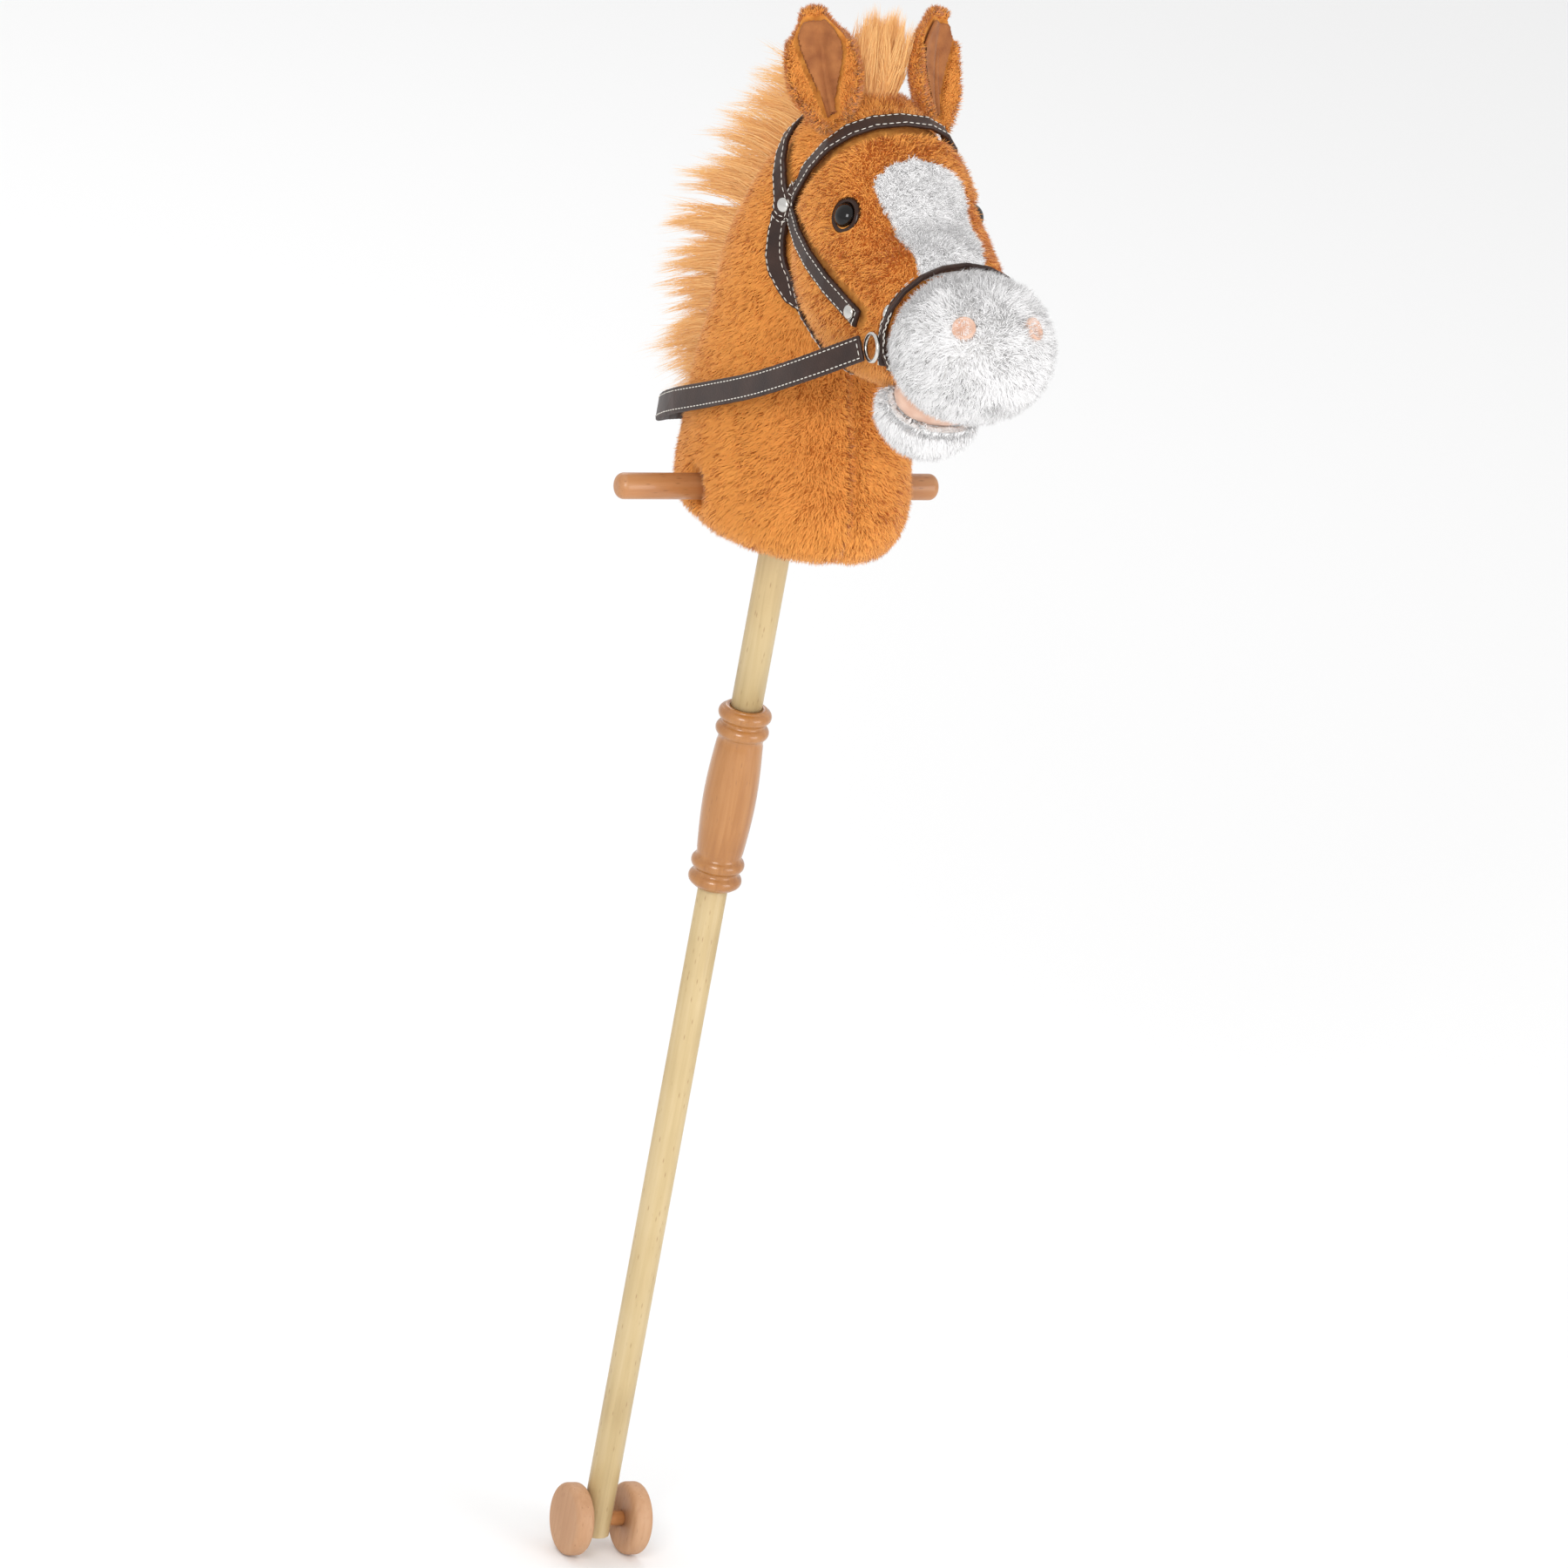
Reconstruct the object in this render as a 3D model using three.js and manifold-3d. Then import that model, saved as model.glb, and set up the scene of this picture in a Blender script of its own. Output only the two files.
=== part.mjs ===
// A toy horse on a stick: a stuffed plush head with a bridle and a cross handle, on a two-part
// wooden pole with a turned grip and two small wheels. Millimetres. The pole stands along +Z with
// its flat foot at the origin, the horse faces -Y, and "forward" below is the distance towards -Y.
import * as THREE from "three";
import { mergeVertices } from "three/addons/utils/BufferGeometryUtils.js";
import Module from "manifold-3d";

const wasm = await Module();
wasm.setup();

// ---- driving dimensions ----
const gap = 0.3; // air between pieces that touch
const lowerPoleDiameter = 18;
const lowerPoleShown = 428; // foot to the grip
const gripLength = 117;
const gripRingDiameter = 32.5;
const gripBellyDiameter = 32;
const gripSocketDepth = 45;
const upperPoleDiameter = 19;
const upperPoleShown = 118; // grip to the middle of the plush's base
const wheelDiameter = 44.5;
const wheelThickness = 12;
const wheelEdge = 4;
const wheelSpacing = 39;
const wheelShift = 3; // the pair sits a little to the right of the pole
const axleDiameter = 9;
const axleHeight = 9.7;
const axleSeat = 8.5; // depth of the blind hole in each wheel
const handleDiameter = 16;
const handleLength = 211;
const handleShift = -7;
const handleAboveBase = 24.5;
const tenonDiameter = 9; // each handle's thin end, glued into the pole
const poleAboveHandle = 34;
const collarDiameter = 27;
const collarLength = 9;
const collarInset = 8; // from the side skin
const plushThickness = 3;
const stuffingSlack = 2.2;
const headHeight = 287; // neck base to the poll
const neckWidth = 125;
const neckDepth = 182;
const baseTilt = 6; // rise of the base's front edge above its middle
const skullHeight = 150;
const faceReach = 168; // pole axis to the end of the face
const cheekWidth = 106;
const muzzleRadii = [51, 50, 46]; // sideways, forward, up
const muzzleBeyondFace = 30;
const muzzleBelowPoll = 90;
const chinRadii = [32, 31, 29];
const earLength = 80;
const earWidth = 44;
const maneReach = 46;
const strapWidth = 11;
const strapThickness = 2.2;
const reinWidth = 15;
const reinThickness = 2;
const reinBesideNeck = 5;
const reinBehindNeck = 27;
const bitRingRadius = 8;
const eyeDiameter = 15.5;
const eyeRimDiameter = 23;
const rivetDiameter = 9;

// ---- places that follow from them ----
const gripBottom = lowerPoleShown;
const gripTop = gripBottom + gripLength;
const neckBase = gripTop + upperPoleShown;
const poll = neckBase + headHeight;
const handleZ = neckBase + handleAboveBase;
const upperPoleTop = handleZ + poleAboveHandle;
const boreSides = 20;

// ---- helpers ----
function point(x, forward, z) {
  return new THREE.Vector3(x, -forward, z);
}

function signedVolume(position, index) {
  const a = new THREE.Vector3();
  const b = new THREE.Vector3();
  const c = new THREE.Vector3();
  let sum = 0;
  for (let i = 0; i < index.length; i += 3) {
    a.fromBufferAttribute(position, index[i]);
    b.fromBufferAttribute(position, index[i + 1]);
    c.fromBufferAttribute(position, index[i + 2]);
    sum += a.dot(b.cross(c));
  }
  return sum / 6;
}

// A closed solid from a three.js geometry, with its faces turned outwards.
function toSolid(geometry) {
  const bare = geometry.clone();
  bare.deleteAttribute("normal");
  bare.deleteAttribute("uv");
  const merged = mergeVertices(bare, 1e-3);
  const all = merged.index.array;
  const kept = [];
  for (let i = 0; i < all.length; i += 3) {
    const [a, b, c] = [all[i], all[i + 1], all[i + 2]];
    if (a !== b && b !== c && c !== a) {
      kept.push(a, b, c);
    }
  }
  const position = merged.attributes.position;
  if (signedVolume(position, kept) < 0) {
    kept.reverse();
  }
  const vertProperties = Float32Array.from(position.array);
  const triVerts = Uint32Array.from(kept);
  return new wasm.Manifold(new wasm.Mesh({ numProp: 3, vertProperties, triVerts }));
}

function toGeometry(solid) {
  const mesh = solid.getMesh();
  const geometry = new THREE.BufferGeometry();
  geometry.setAttribute("position", new THREE.BufferAttribute(mesh.vertProperties, 3));
  geometry.setIndex(new THREE.BufferAttribute(mesh.triVerts, 1));
  geometry.computeVertexNormals();
  return geometry;
}

// A turned solid about Z from [radius, height] points that start and end on the axis.
function turned(profile, sides) {
  const geometry = new THREE.LatheGeometry(profile.map(([r, z]) => new THREE.Vector2(r, z)), sides);
  return toSolid(geometry.rotateX(Math.PI / 2));
}

function rod(radius, from, to, sides = boreSides) {
  return turned([[0, from], [radius, from], [radius, to], [0, to]], sides);
}

// The same rod, lying along X.
function rodAlongX(radius, from, to, forward, z) {
  return rod(radius, from, to).rotate([0, 90, 0]).translate([0, -forward, z]);
}

// Ovals threaded on a smooth course. Each oval: [forward, z] centre, half width along X, and the
// [forward, z] half height that stands across it. grow thickens the body all round.
function loft(ovals, rings, sides, power, grow) {
  const centres = ovals.map((o) => new THREE.Vector3(o.centre[0], o.centre[1], o.halfWidth));
  const rises = ovals.map((o) => new THREE.Vector3(o.rise[0], o.rise[1], 0));
  const centreCurve = new THREE.CatmullRomCurve3(centres, false, "catmullrom", 0.5);
  const riseCurve = new THREE.CatmullRomCurve3(rises, false, "catmullrom", 0.5);
  const ends = [0, 1].map((at) => {
    const rise = riseCurve.getPoint(at).normalize();
    const outward = new THREE.Vector3(-rise.y, rise.x, 0);
    const onward = centreCurve.getTangent(at).multiplyScalar(at ? 1 : -1);
    outward.multiplyScalar(Math.sign(outward.dot(onward)));
    return { at, place: centreCurve.getPoint(at), outward };
  });
  const geometry = new THREE.CylinderGeometry(1, 1, 1, sides, rings - 1);
  const vertex = geometry.attributes.position;
  for (let i = 0; i < vertex.count; i++) {
    const t = 0.5 - vertex.getY(i);
    const centre = centreCurve.getPoint(t);
    const rise = riseCurve.getPoint(t);
    const height = rise.length();
    rise.multiplyScalar((height + grow) / height);
    const across = Math.sign(vertex.getX(i)) * Math.abs(vertex.getX(i)) ** (2 / power);
    const up = Math.sign(vertex.getZ(i)) * Math.abs(vertex.getZ(i)) ** (2 / power);
    const x = across * (centre.z + grow);
    ends.forEach(({ place, outward, at }) => {
      const past = (centre.x - place.x) * outward.x + (centre.y - place.y) * outward.y;
      if (Math.abs(t - at) < 0.001 || past > grow) {
        centre.addScaledVector(outward, grow - past);
      }
    });
    vertex.setXYZ(i, x, -(centre.x + up * rise.x), centre.y + up * rise.y);
  }
  return toSolid(geometry);
}

// The space swept sideways by a flat band of the given width that follows [forward, z] points.
function bandSweep(route, width, fromX, toX) {
  const curve = new THREE.SplineCurve(route.map(([f, z]) => new THREE.Vector2(f, z)));
  const steps = route.length > 2 ? 3 * (route.length - 1) : 1;
  const geometry = new THREE.BoxGeometry(1, 1, 1, steps, 1, 1);
  const vertex = geometry.attributes.position;
  for (let i = 0; i < vertex.count; i++) {
    const t = vertex.getX(i) + 0.5;
    const centre = curve.getPoint(t);
    const along = curve.getTangent(t);
    const offset = vertex.getY(i) * width;
    const x = THREE.MathUtils.lerp(fromX, toX, vertex.getZ(i) + 0.5);
    vertex.setXYZ(i, x, -(centre.x - along.y * offset), centre.y + along.x * offset);
  }
  return toSolid(geometry);
}

function ellipsoid(x, forward, z, radii, grow, across = 20, rings = 12) {
  const geometry = new THREE.SphereGeometry(1, across, rings);
  geometry.scale(radii[0] + grow, radii[1] + grow, radii[2] + grow);
  return toSolid(geometry).translate([x, -forward, z]);
}

// Turns a solid built along +Z so that it points along a direction from a place.
function aimed(solid, place, direction) {
  const turn = new THREE.Quaternion().setFromUnitVectors(new THREE.Vector3(0, 0, 1), direction);
  const matrix = new THREE.Matrix4().compose(place, turn, new THREE.Vector3(1, 1, 1));
  return solid.transform(matrix.elements);
}

const horse = new THREE.Group();
const sides = [["left", -1], ["right", 1]];

function addPart(name, solid, look) {
  const material = new THREE.MeshStandardMaterial(look);
  const mesh = new THREE.Mesh(toGeometry(solid), material);
  mesh.name = name;
  horse.add(mesh);
}

const look = {
  pine: { color: 0xdcc79c, roughness: 0.55, metalness: 0 },
  lacquered: { color: 0xc98e58, roughness: 0.3, metalness: 0 },
  beech: { color: 0xcf9f76, roughness: 0.6, metalness: 0 },
  plush: { color: 0xd9893a, roughness: 1, metalness: 0 },
  white: { color: 0xecebea, roughness: 1, metalness: 0 },
  pink: { color: 0xe3bfa9, roughness: 0.95, metalness: 0 },
  suede: { color: 0xb5703a, roughness: 0.9, metalness: 0 },
  hair: { color: 0xd9a55c, roughness: 0.9, metalness: 0 },
  strap: { color: 0x4a322b, roughness: 0.45, metalness: 0 },
  steel: { color: 0xc9c9c7, roughness: 0.25, metalness: 1 },
  eye: { color: 0x0c0a09, roughness: 0.08, metalness: 0 },
  rim: { color: 0x4b3020, roughness: 0.25, metalness: 0 },
  filling: { color: 0xf3f1ec, roughness: 1, metalness: 0 },
};

// ---- the plush body: neck and skull ----
// Neck ovals from the poll down: [height, front reach, back reach, half width, tilt]. Height is a
// share of the head's height, the reaches of half the neck's depth, the width of half the neck's
// width. The tilt, in mm, is how far the oval's front stands above its middle.
const neckOvals = [
  [1.0, 0.42, 0.24, 0.14, 0],
  [0.984, 0.54, 0.08, 0.38, 0],
  [0.946, 0.6, -0.08, 0.54, 0],
  [0.867, 0.6, -0.29, 0.68, 0],
  [0.737, 0.55, -0.55, 0.81, 0],
  [0.628, 0.56, -0.7, 0.9, 0],
  [0.544, 0.56, -0.77, 0.92, 0],
  [0.439, 0.61, -0.8, 0.93, 0],
  [0.333, 0.77, -0.88, 0.95, 1],
  [0.228, 0.93, -0.93, 0.98, 3],
  [0.123, 1.05, -0.94, 1.0, 5],
  [0.065, 1.04, -0.93, 0.99, baseTilt],
  [0.028, 0.98, -0.88, 0.94, baseTilt],
  [0.008, 0.9, -0.8, 0.84, baseTilt],
  [0.0, 0.78, -0.68, 0.68, baseTilt],
];

// Skull ovals from the back to the nose: the top and bottom points as [forward, drop below the
// poll], shares of the face's reach and the skull's height, and a share of half the cheek width.
const skullOvals = [
  [0.05, 0.17, 0.12, 0.73, 0.6],
  [0.18, 0.04, 0.2, 0.92, 0.86],
  [0.3, 0.005, 0.35, 1.0, 0.96],
  [0.42, 0.035, 0.5, 1.02, 1.0],
  [0.58, 0.165, 0.65, 1.0, 0.98],
  [0.74, 0.275, 0.78, 0.96, 0.91],
  [0.89, 0.311, 0.89, 0.92, 0.84],
  [1.0, 0.41, 0.98, 0.88, 0.79],
];

function neckHeight(share) {
  return neckBase + share * headHeight;
}

function neckBody(grow, rings, sides) {
  const ovals = neckOvals.map(([height, front, back, half, tilt]) => ({
    centre: [((front + back) / 4) * neckDepth, neckHeight(height)],
    rise: [((front - back) / 4) * neckDepth, tilt],
    halfWidth: (half * neckWidth) / 2,
  }));
  return loft(ovals, rings, sides, 2.1, grow);
}

function skullBody(grow, rings, sides) {
  const ovals = skullOvals.map(([topF, topDrop, lowF, lowDrop, half]) => {
    const top = [topF * faceReach, poll - topDrop * skullHeight];
    const low = [lowF * faceReach, poll - lowDrop * skullHeight];
    return {
      centre: [(top[0] + low[0]) / 2, (top[1] + low[1]) / 2],
      rise: [(top[0] - low[0]) / 2, (top[1] - low[1]) / 2],
      halfWidth: (half * cheekWidth) / 2,
    };
  });
  return loft(ovals, rings, sides, 2.3, grow);
}

const bodies = new Map();
function plushBody(grow) {
  if (!bodies.has(grow)) {
    bodies.set(grow, neckBody(grow, neckOvals.length, 24).add(skullBody(grow, skullOvals.length, 22)));
  }
  return bodies.get(grow);
}

// Where a line from the side meets the plush, and which way the plush faces there.
const plushMesh = new THREE.Mesh(toGeometry(plushBody(0)));
const ray = new THREE.Raycaster();
function onPlush(side, forward, z) {
  ray.set(point(side * 400, forward, z), new THREE.Vector3(-side, 0, 0));
  const hit = ray.intersectObject(plushMesh)[0];
  return { place: hit.point, normal: hit.face.normal.clone() };
}

// A place on the side of the head, from shares of the face's reach and the skull's height.
function facePoint(reach, drop) {
  return [reach * faceReach, poll - drop * skullHeight];
}

const browJoint = facePoint(0.13, 0.49);
const cheekEnd = facePoint(0.835, 0.645);
const bitPlace = facePoint(1.0, 0.69);
const eyePlace = facePoint(0.55, 0.335);

const handleBore = (clear) => rodAlongX(handleDiameter / 2 + clear, -200, 200, 0, handleZ);
const muzzleForward = faceReach + muzzleBeyondFace;
const muzzleZ = poll - muzzleBelowPoll;
const muzzleBody = (grow) => ellipsoid(0, muzzleForward, muzzleZ, muzzleRadii, grow);
const chinForward = faceReach - 8;
const chinZ = muzzleZ - muzzleRadii[2] - 10;
const chinBody = (grow) => ellipsoid(0, chinForward, chinZ, chinRadii, grow, 16, 10);
const liningRadii = [chinRadii[0] - 2, 24, 20];
const liningBody = (grow) => {
  const lining = ellipsoid(0, 0, 0, liningRadii, grow, 16, 8);
  return lining.rotate([-24, 0, 0]).translate([0, -(faceReach + 6), muzzleZ - muzzleRadii[2] + 6]);
};

// ---- eyes: a domed button with a stem, a rim, and the washer that locks it inside ----
const eyeParts = sides.map(([label, side]) => {
  const { place, normal } = onPlush(side, eyePlace[0], eyePlace[1]);
  normal.set(normal.x, normal.y * 0.6, normal.z * 0.4).normalize();
  const make = (solid) => aimed(solid, place, normal);
  const stemRadius = 2;
  const dome = eyeDiameter / 2;
  const rimOuter = eyeRimDiameter / 2;
  const washerDepth = plushThickness + 3;
  const buttonProfile = [
    [0, -6],
    [dome, -6],
    [dome, 1.6],
    [dome * 0.8, 3.6],
    [dome * 0.45, 4.8],
    [0, 5.2],
  ];
  const rimProfile = [
    [0, -6],
    [rimOuter, -6],
    [rimOuter, 0.9],
    [rimOuter * 0.86, 2.2],
    [dome + gap, 2.4],
    [0, 2.4],
  ];
  return {
    label,
    button: make(turned(buttonProfile, 16)),
    stem: make(rod(stemRadius, -20, 1, 12)),
    stemBore: make(rod(stemRadius + gap, -20 - gap, 6, 12)),
    rim: make(turned(rimProfile, 20)),
    rimBore: make(rod(dome + gap, -8, 8, 20)),
    washer: make(rod(8.5, -washerDepth - 1.5, -washerDepth, 16)),
    washerRoom: make(rod(8.5 + gap, -washerDepth - 1.5 - gap, -washerDepth + 3, 16)),
  };
});

// ---- plush skins, base and stuffing ----
const poleHole = rod(upperPoleDiameter / 2 + 1.5, 0, upperPoleTop + 2);
const holeOval = new THREE.CylinderGeometry(1, 1, 400, 20)
  .scale(handleDiameter / 2 + 3, 1, handleDiameter / 2 + 6)
  .rotateZ(Math.PI / 2);
const handleHole = toSolid(holeOval)
  .rotate([90, 0, 0])
  .translate([0, 0, handleZ - 2]);
const collarRoom = rodAlongX(collarDiameter / 2 + gap, -200, 200, 0, handleZ);

const skinInside = plushBody(-plushThickness);
const baseHeight = neckHeight(0.02);
const baseLean = (Math.atan2(baseTilt, 0.42 * neckDepth) * 180) / Math.PI;
const belowBase = toSolid(new THREE.BoxGeometry(600, 800, 400))
  .translate([0, 0, -200])
  .rotate([-baseLean, 0, 0])
  .translate([0, 0, baseHeight]);
let skin = plushBody(0).subtract(skinInside).subtract(handleHole);
eyeParts.forEach((eye) => {
  skin = skin.subtract(eye.stemBore);
});
const halfSpace = toSolid(new THREE.BoxGeometry(300, 800, 1400));
const sideHalf = (side) => halfSpace.translate([side * (150 + gap / 2), 0, 700]);
const belowSkin = belowBase.translate([0, 0, gap]);
sides.forEach(([label, side]) => {
  addPart(`plush_side_${label}`, skin.subtract(belowSkin).intersect(sideHalf(side)), look.plush);
});
addPart("neck_base", skin.intersect(belowBase).subtract(poleHole), look.plush);

const stuffingInset = -plushThickness - stuffingSlack;
const neckFilling = neckBody(stuffingInset, neckOvals.length, 14);
const skullFilling = skullBody(stuffingInset, skullOvals.length, 14);
let stuffing = neckFilling.add(skullFilling).subtract(poleHole).subtract(collarRoom);
eyeParts.forEach((eye) => {
  stuffing = stuffing.subtract(eye.stemBore).subtract(eye.washerRoom);
});
addPart("stuffing", stuffing, look.filling);

eyeParts.forEach((eye) => {
  const outside = plushBody(gap);
  addPart(`eye_${eye.label}`, eye.button.subtract(outside).add(eye.stem), look.eye);
  addPart(`eye_rim_${eye.label}`, eye.rim.subtract(eye.rimBore).subtract(outside), look.rim);
  addPart(`eye_washer_${eye.label}`, eye.washer.subtract(eye.stemBore), look.white);
});

// ---- the bridle: flat straps that lie on the plush ----
const strapOuter = plushBody(gap + strapThickness);
const strapShell = strapOuter.subtract(plushBody(gap));
const crownTop = [browJoint[0] - 44, browJoint[1] + 57];
const browTop = [browJoint[0] + 48, browJoint[1] + 87];
const crownRoute = [browJoint, crownTop];
const browRoute = [browJoint, browTop];
const cheekRoute = [browJoint, cheekEnd];
const throatRoute = [
  [browJoint[0] - 1, browJoint[1] - 2],
  [browJoint[0] + 3, browJoint[1] - 30],
  [browJoint[0] + 19, browJoint[1] - 52],
  [browJoint[0] + 48, browJoint[1] - 68],
  [browJoint[0] + 66, browJoint[1] - 84],
];
const reach = 130;
const crownSweep = (extra) => bandSweep(crownRoute, strapWidth + extra, -reach, reach);
const browSweep = (extra) => bandSweep(browRoute, strapWidth + extra, -reach, reach);
const throatSweep = (extra) => bandSweep(throatRoute, strapWidth + extra, -reach, reach);
const cheekSweep = (side, extra) => bandSweep(cheekRoute, strapWidth + extra, side, side * reach);
const jointRadius = rivetDiameter / 2 + 3;
const jointDisc = (extra) => rodAlongX(jointRadius + extra, -reach, reach, ...browJoint);

addPart("headpiece", strapShell.intersect(crownSweep(0).add(jointDisc(0))), look.strap);
const crownRoom = crownSweep(2 * gap).add(jointDisc(gap));
addPart("browband", strapShell.intersect(browSweep(0)).subtract(crownRoom), look.strap);
const browRoom = crownRoom.add(browSweep(2 * gap));
sides.forEach(([label, side]) => {
  addPart(`cheek_strap_${label}`, strapShell.intersect(cheekSweep(side, 0)).subtract(browRoom), look.strap);
});
const cheekRoom = browRoom.add(cheekSweep(-1, 2 * gap)).add(cheekSweep(1, 2 * gap));
addPart("throatlatch", strapShell.intersect(throatSweep(0)).subtract(cheekRoom), look.strap);

const noseFrom = faceReach - 3;
const noseLow = muzzleZ - muzzleRadii[2] * 0.55;
const noseSlab = toSolid(new THREE.BoxGeometry(300, strapWidth, 300)).translate([
  0,
  -(noseFrom + strapWidth / 2),
  noseLow + 150,
]);
const noseCore = (grow) => plushBody(grow).add(muzzleBody(grow)).add(chinBody(grow)).add(liningBody(grow));
const noseShell = noseCore(gap + strapThickness).subtract(noseCore(gap));
addPart("noseband", noseShell.intersect(noseSlab), look.strap);

// ---- rivets, bit rings ----
const rivetSpots = { brow: browJoint, cheek: [cheekEnd[0] - 7, cheekEnd[1] + 1.5] };
const rivetProfile = [
  [0, -6],
  [rivetDiameter / 2, -6],
  [rivetDiameter / 2, 0.4],
  [rivetDiameter * 0.36, 1.4],
  [0, 1.9],
];
const strapTop = plushBody(2 * gap + strapThickness);
Object.entries(rivetSpots).forEach(([spot, [forward, z]]) => {
  sides.forEach(([label, side]) => {
    const { place, normal } = onPlush(side, forward, z);
    place.addScaledVector(normal, strapThickness + 2 * gap);
    const rivet = aimed(turned(rivetProfile, 12), place, normal).subtract(strapTop);
    addPart(`rivet_${spot}_${label}`, rivet, look.steel);
  });
});

const noseMesh = new THREE.Mesh(toGeometry(noseCore(gap + strapThickness)));
const noseTop = noseCore(2 * gap + strapThickness);
const noseRivetZ = muzzleZ + 12;
const ringOuter = bitRingRadius + 1.5;
const ringEdges = [[0, 0], [ringOuter, 0], [-ringOuter, 0], [0, ringOuter], [0, -ringOuter]];
const bitX = [];
sides.forEach(([label, side]) => {
  ray.set(point(side * 400, noseFrom + strapWidth / 2, noseRivetZ), new THREE.Vector3(-side, 0, 0));
  const hit = ray.intersectObject(noseMesh)[0];
  const place = hit.point.addScaledVector(hit.face.normal, gap);
  const rivet = aimed(turned(rivetProfile, 12), place, hit.face.normal).subtract(noseTop);
  addPart(`rivet_nose_${label}`, rivet, look.steel);
  for (const [forward, rise] of ringEdges) {
    const start = point(side * 400, bitPlace[0] + forward, bitPlace[1] + rise);
    ray.set(start, new THREE.Vector3(-side, 0, 0));
    bitX.push(Math.abs(ray.intersectObject(noseMesh)[0]?.point.x ?? 0));
  }
});
const ringWire = 1.5;
const ringClear = 0.65; // from the noseband
const ringX = Math.max(...bitX) + ringWire + ringClear;
sides.forEach(([label, side]) => {
  const ring = toSolid(new THREE.TorusGeometry(bitRingRadius, ringWire, 6, 16).rotateY(Math.PI / 2));
  addPart(`bit_ring_${label}`, ring.translate([side * ringX, -bitPlace[0], bitPlace[1]]), look.steel);
});

// ---- face: blaze, muzzle, chin, mouth, nostrils ----
const blazeThickness = 2;
const blazeOutline = new THREE.Shape();
blazeOutline.moveTo(-0.27 * cheekWidth, -0.55 * faceReach);
blazeOutline.quadraticCurveTo(0, -0.48 * faceReach, 0.27 * cheekWidth, -0.55 * faceReach);
blazeOutline.lineTo(0.21 * cheekWidth, -(noseFrom - 1));
blazeOutline.lineTo(-0.21 * cheekWidth, -(noseFrom - 1));
blazeOutline.closePath();
const columnCut = { depth: 400, bevelEnabled: false, curveSegments: 8 };
const blazeColumn = toSolid(new THREE.ExtrudeGeometry(blazeOutline, columnCut));
const blazeSpace = blazeColumn.translate([0, 0, poll - skullHeight / 2]);
const blazeShell = plushBody(gap + blazeThickness).subtract(plushBody(gap));
addPart("blaze", blazeShell.intersect(blazeSpace).subtract(muzzleBody(gap)), look.white);

const face = plushBody(gap);
addPart("muzzle", muzzleBody(0).subtract(face), look.white);
const lining = liningBody(0).subtract(face).subtract(muzzleBody(gap));
addPart("mouth_lining", lining, look.pink);
const chin = chinBody(0).subtract(face).subtract(muzzleBody(gap)).subtract(liningBody(gap));
addPart("chin", chin, look.white);
const nostrilShell = muzzleBody(gap + 1.6).subtract(muzzleBody(gap));
sides.forEach(([label, side]) => {
  const direction = point(side * 0.5, 0.68, 0.53).normalize();
  const post = aimed(rod(8, 10, 90, 16), point(0, muzzleForward, muzzleZ), direction);
  addPart(`nostril_${label}`, nostrilShell.intersect(post), look.pink);
});

// ---- ears: cupped leaves with a smooth lining ----
const earShare = new THREE.SplineCurve([
  new THREE.Vector2(0, 0.3),
  new THREE.Vector2(0.25, 0.84),
  new THREE.Vector2(0.5, 1),
  new THREE.Vector2(0.78, 0.82),
  new THREE.Vector2(1, 0.22),
]);
function leaf(side, from, to, widthShare, nearFace, thickness) {
  const base = point(side * 33, 0.25 * faceReach, poll - 17);
  const rise = point(side * 0.12, -0.52, 0.85).normalize();
  const opening = point(side * 0.5, 0.85, 0.4);
  opening.addScaledVector(rise, -opening.dot(rise)).normalize();
  const across = new THREE.Vector3().crossVectors(rise, opening);
  const geometry = new THREE.BoxGeometry(1, 1, 1, 6, 8, 1);
  const vertex = geometry.attributes.position;
  for (let i = 0; i < vertex.count; i++) {
    const t = THREE.MathUtils.lerp(from, to, vertex.getY(i) + 0.5);
    const halfWidth = (earShare.getPoint(t).y * earWidth * widthShare) / 2;
    const u = 2 * vertex.getX(i);
    const cup = 9 * (u * widthShare) ** 2 * (1 - 0.6 * t);
    const depth = cup + nearFace + (vertex.getZ(i) - 0.5) * thickness - 5 * Math.sin(Math.PI * t);
    const place = base.clone().addScaledVector(rise, t * earLength);
    place.addScaledVector(across, u * halfWidth).addScaledVector(opening, depth);
    vertex.setXYZ(i, place.x, place.y, place.z);
  }
  return toSolid(geometry);
}
sides.forEach(([label, side]) => {
  addPart(`ear_${label}`, leaf(side, 0, 1, 1, 0, 6).subtract(strapTop), look.plush);
  const innerEar = leaf(side, 0.12, 0.9, 0.72, gap + 2.1, 1.5);
  addPart(`ear_lining_${label}`, innerEar.subtract(strapTop), look.suede);
});

// ---- mane and forelock ----
// [height share, hair reach share, half width]
const maneOvals = [
  [0.92, 0.55, 10],
  [0.85, 0.95, 24],
  [0.72, 1.15, 32],
  [0.57, 1.2, 34],
  [0.42, 1.12, 34],
  [0.29, 1.0, 30],
  [0.215, 0.62, 18],
];
function backReach(height) {
  const upper = neckOvals.findLast((oval) => oval[0] >= height);
  const lower = neckOvals.find((oval) => oval[0] < height);
  const share = (height - lower[0]) / (upper[0] - lower[0]);
  return (THREE.MathUtils.lerp(lower[2], upper[2], share) * neckDepth) / 2;
}
const maneRoot = 12;
const mane = loft(
  maneOvals.map(([height, hair, halfWidth]) => ({
    centre: [backReach(height) + (maneRoot - hair * maneReach) / 2, neckHeight(height)],
    rise: [(maneRoot + hair * maneReach) / 2, 0],
    halfWidth,
  })),
  12,
  16,
  2,
  0,
);
addPart("mane", mane.subtract(strapTop), look.hair);
const forelock = ellipsoid(0, 0.09 * faceReach, poll + 18, [11, 9, 33], 0, 14, 10);
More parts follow.
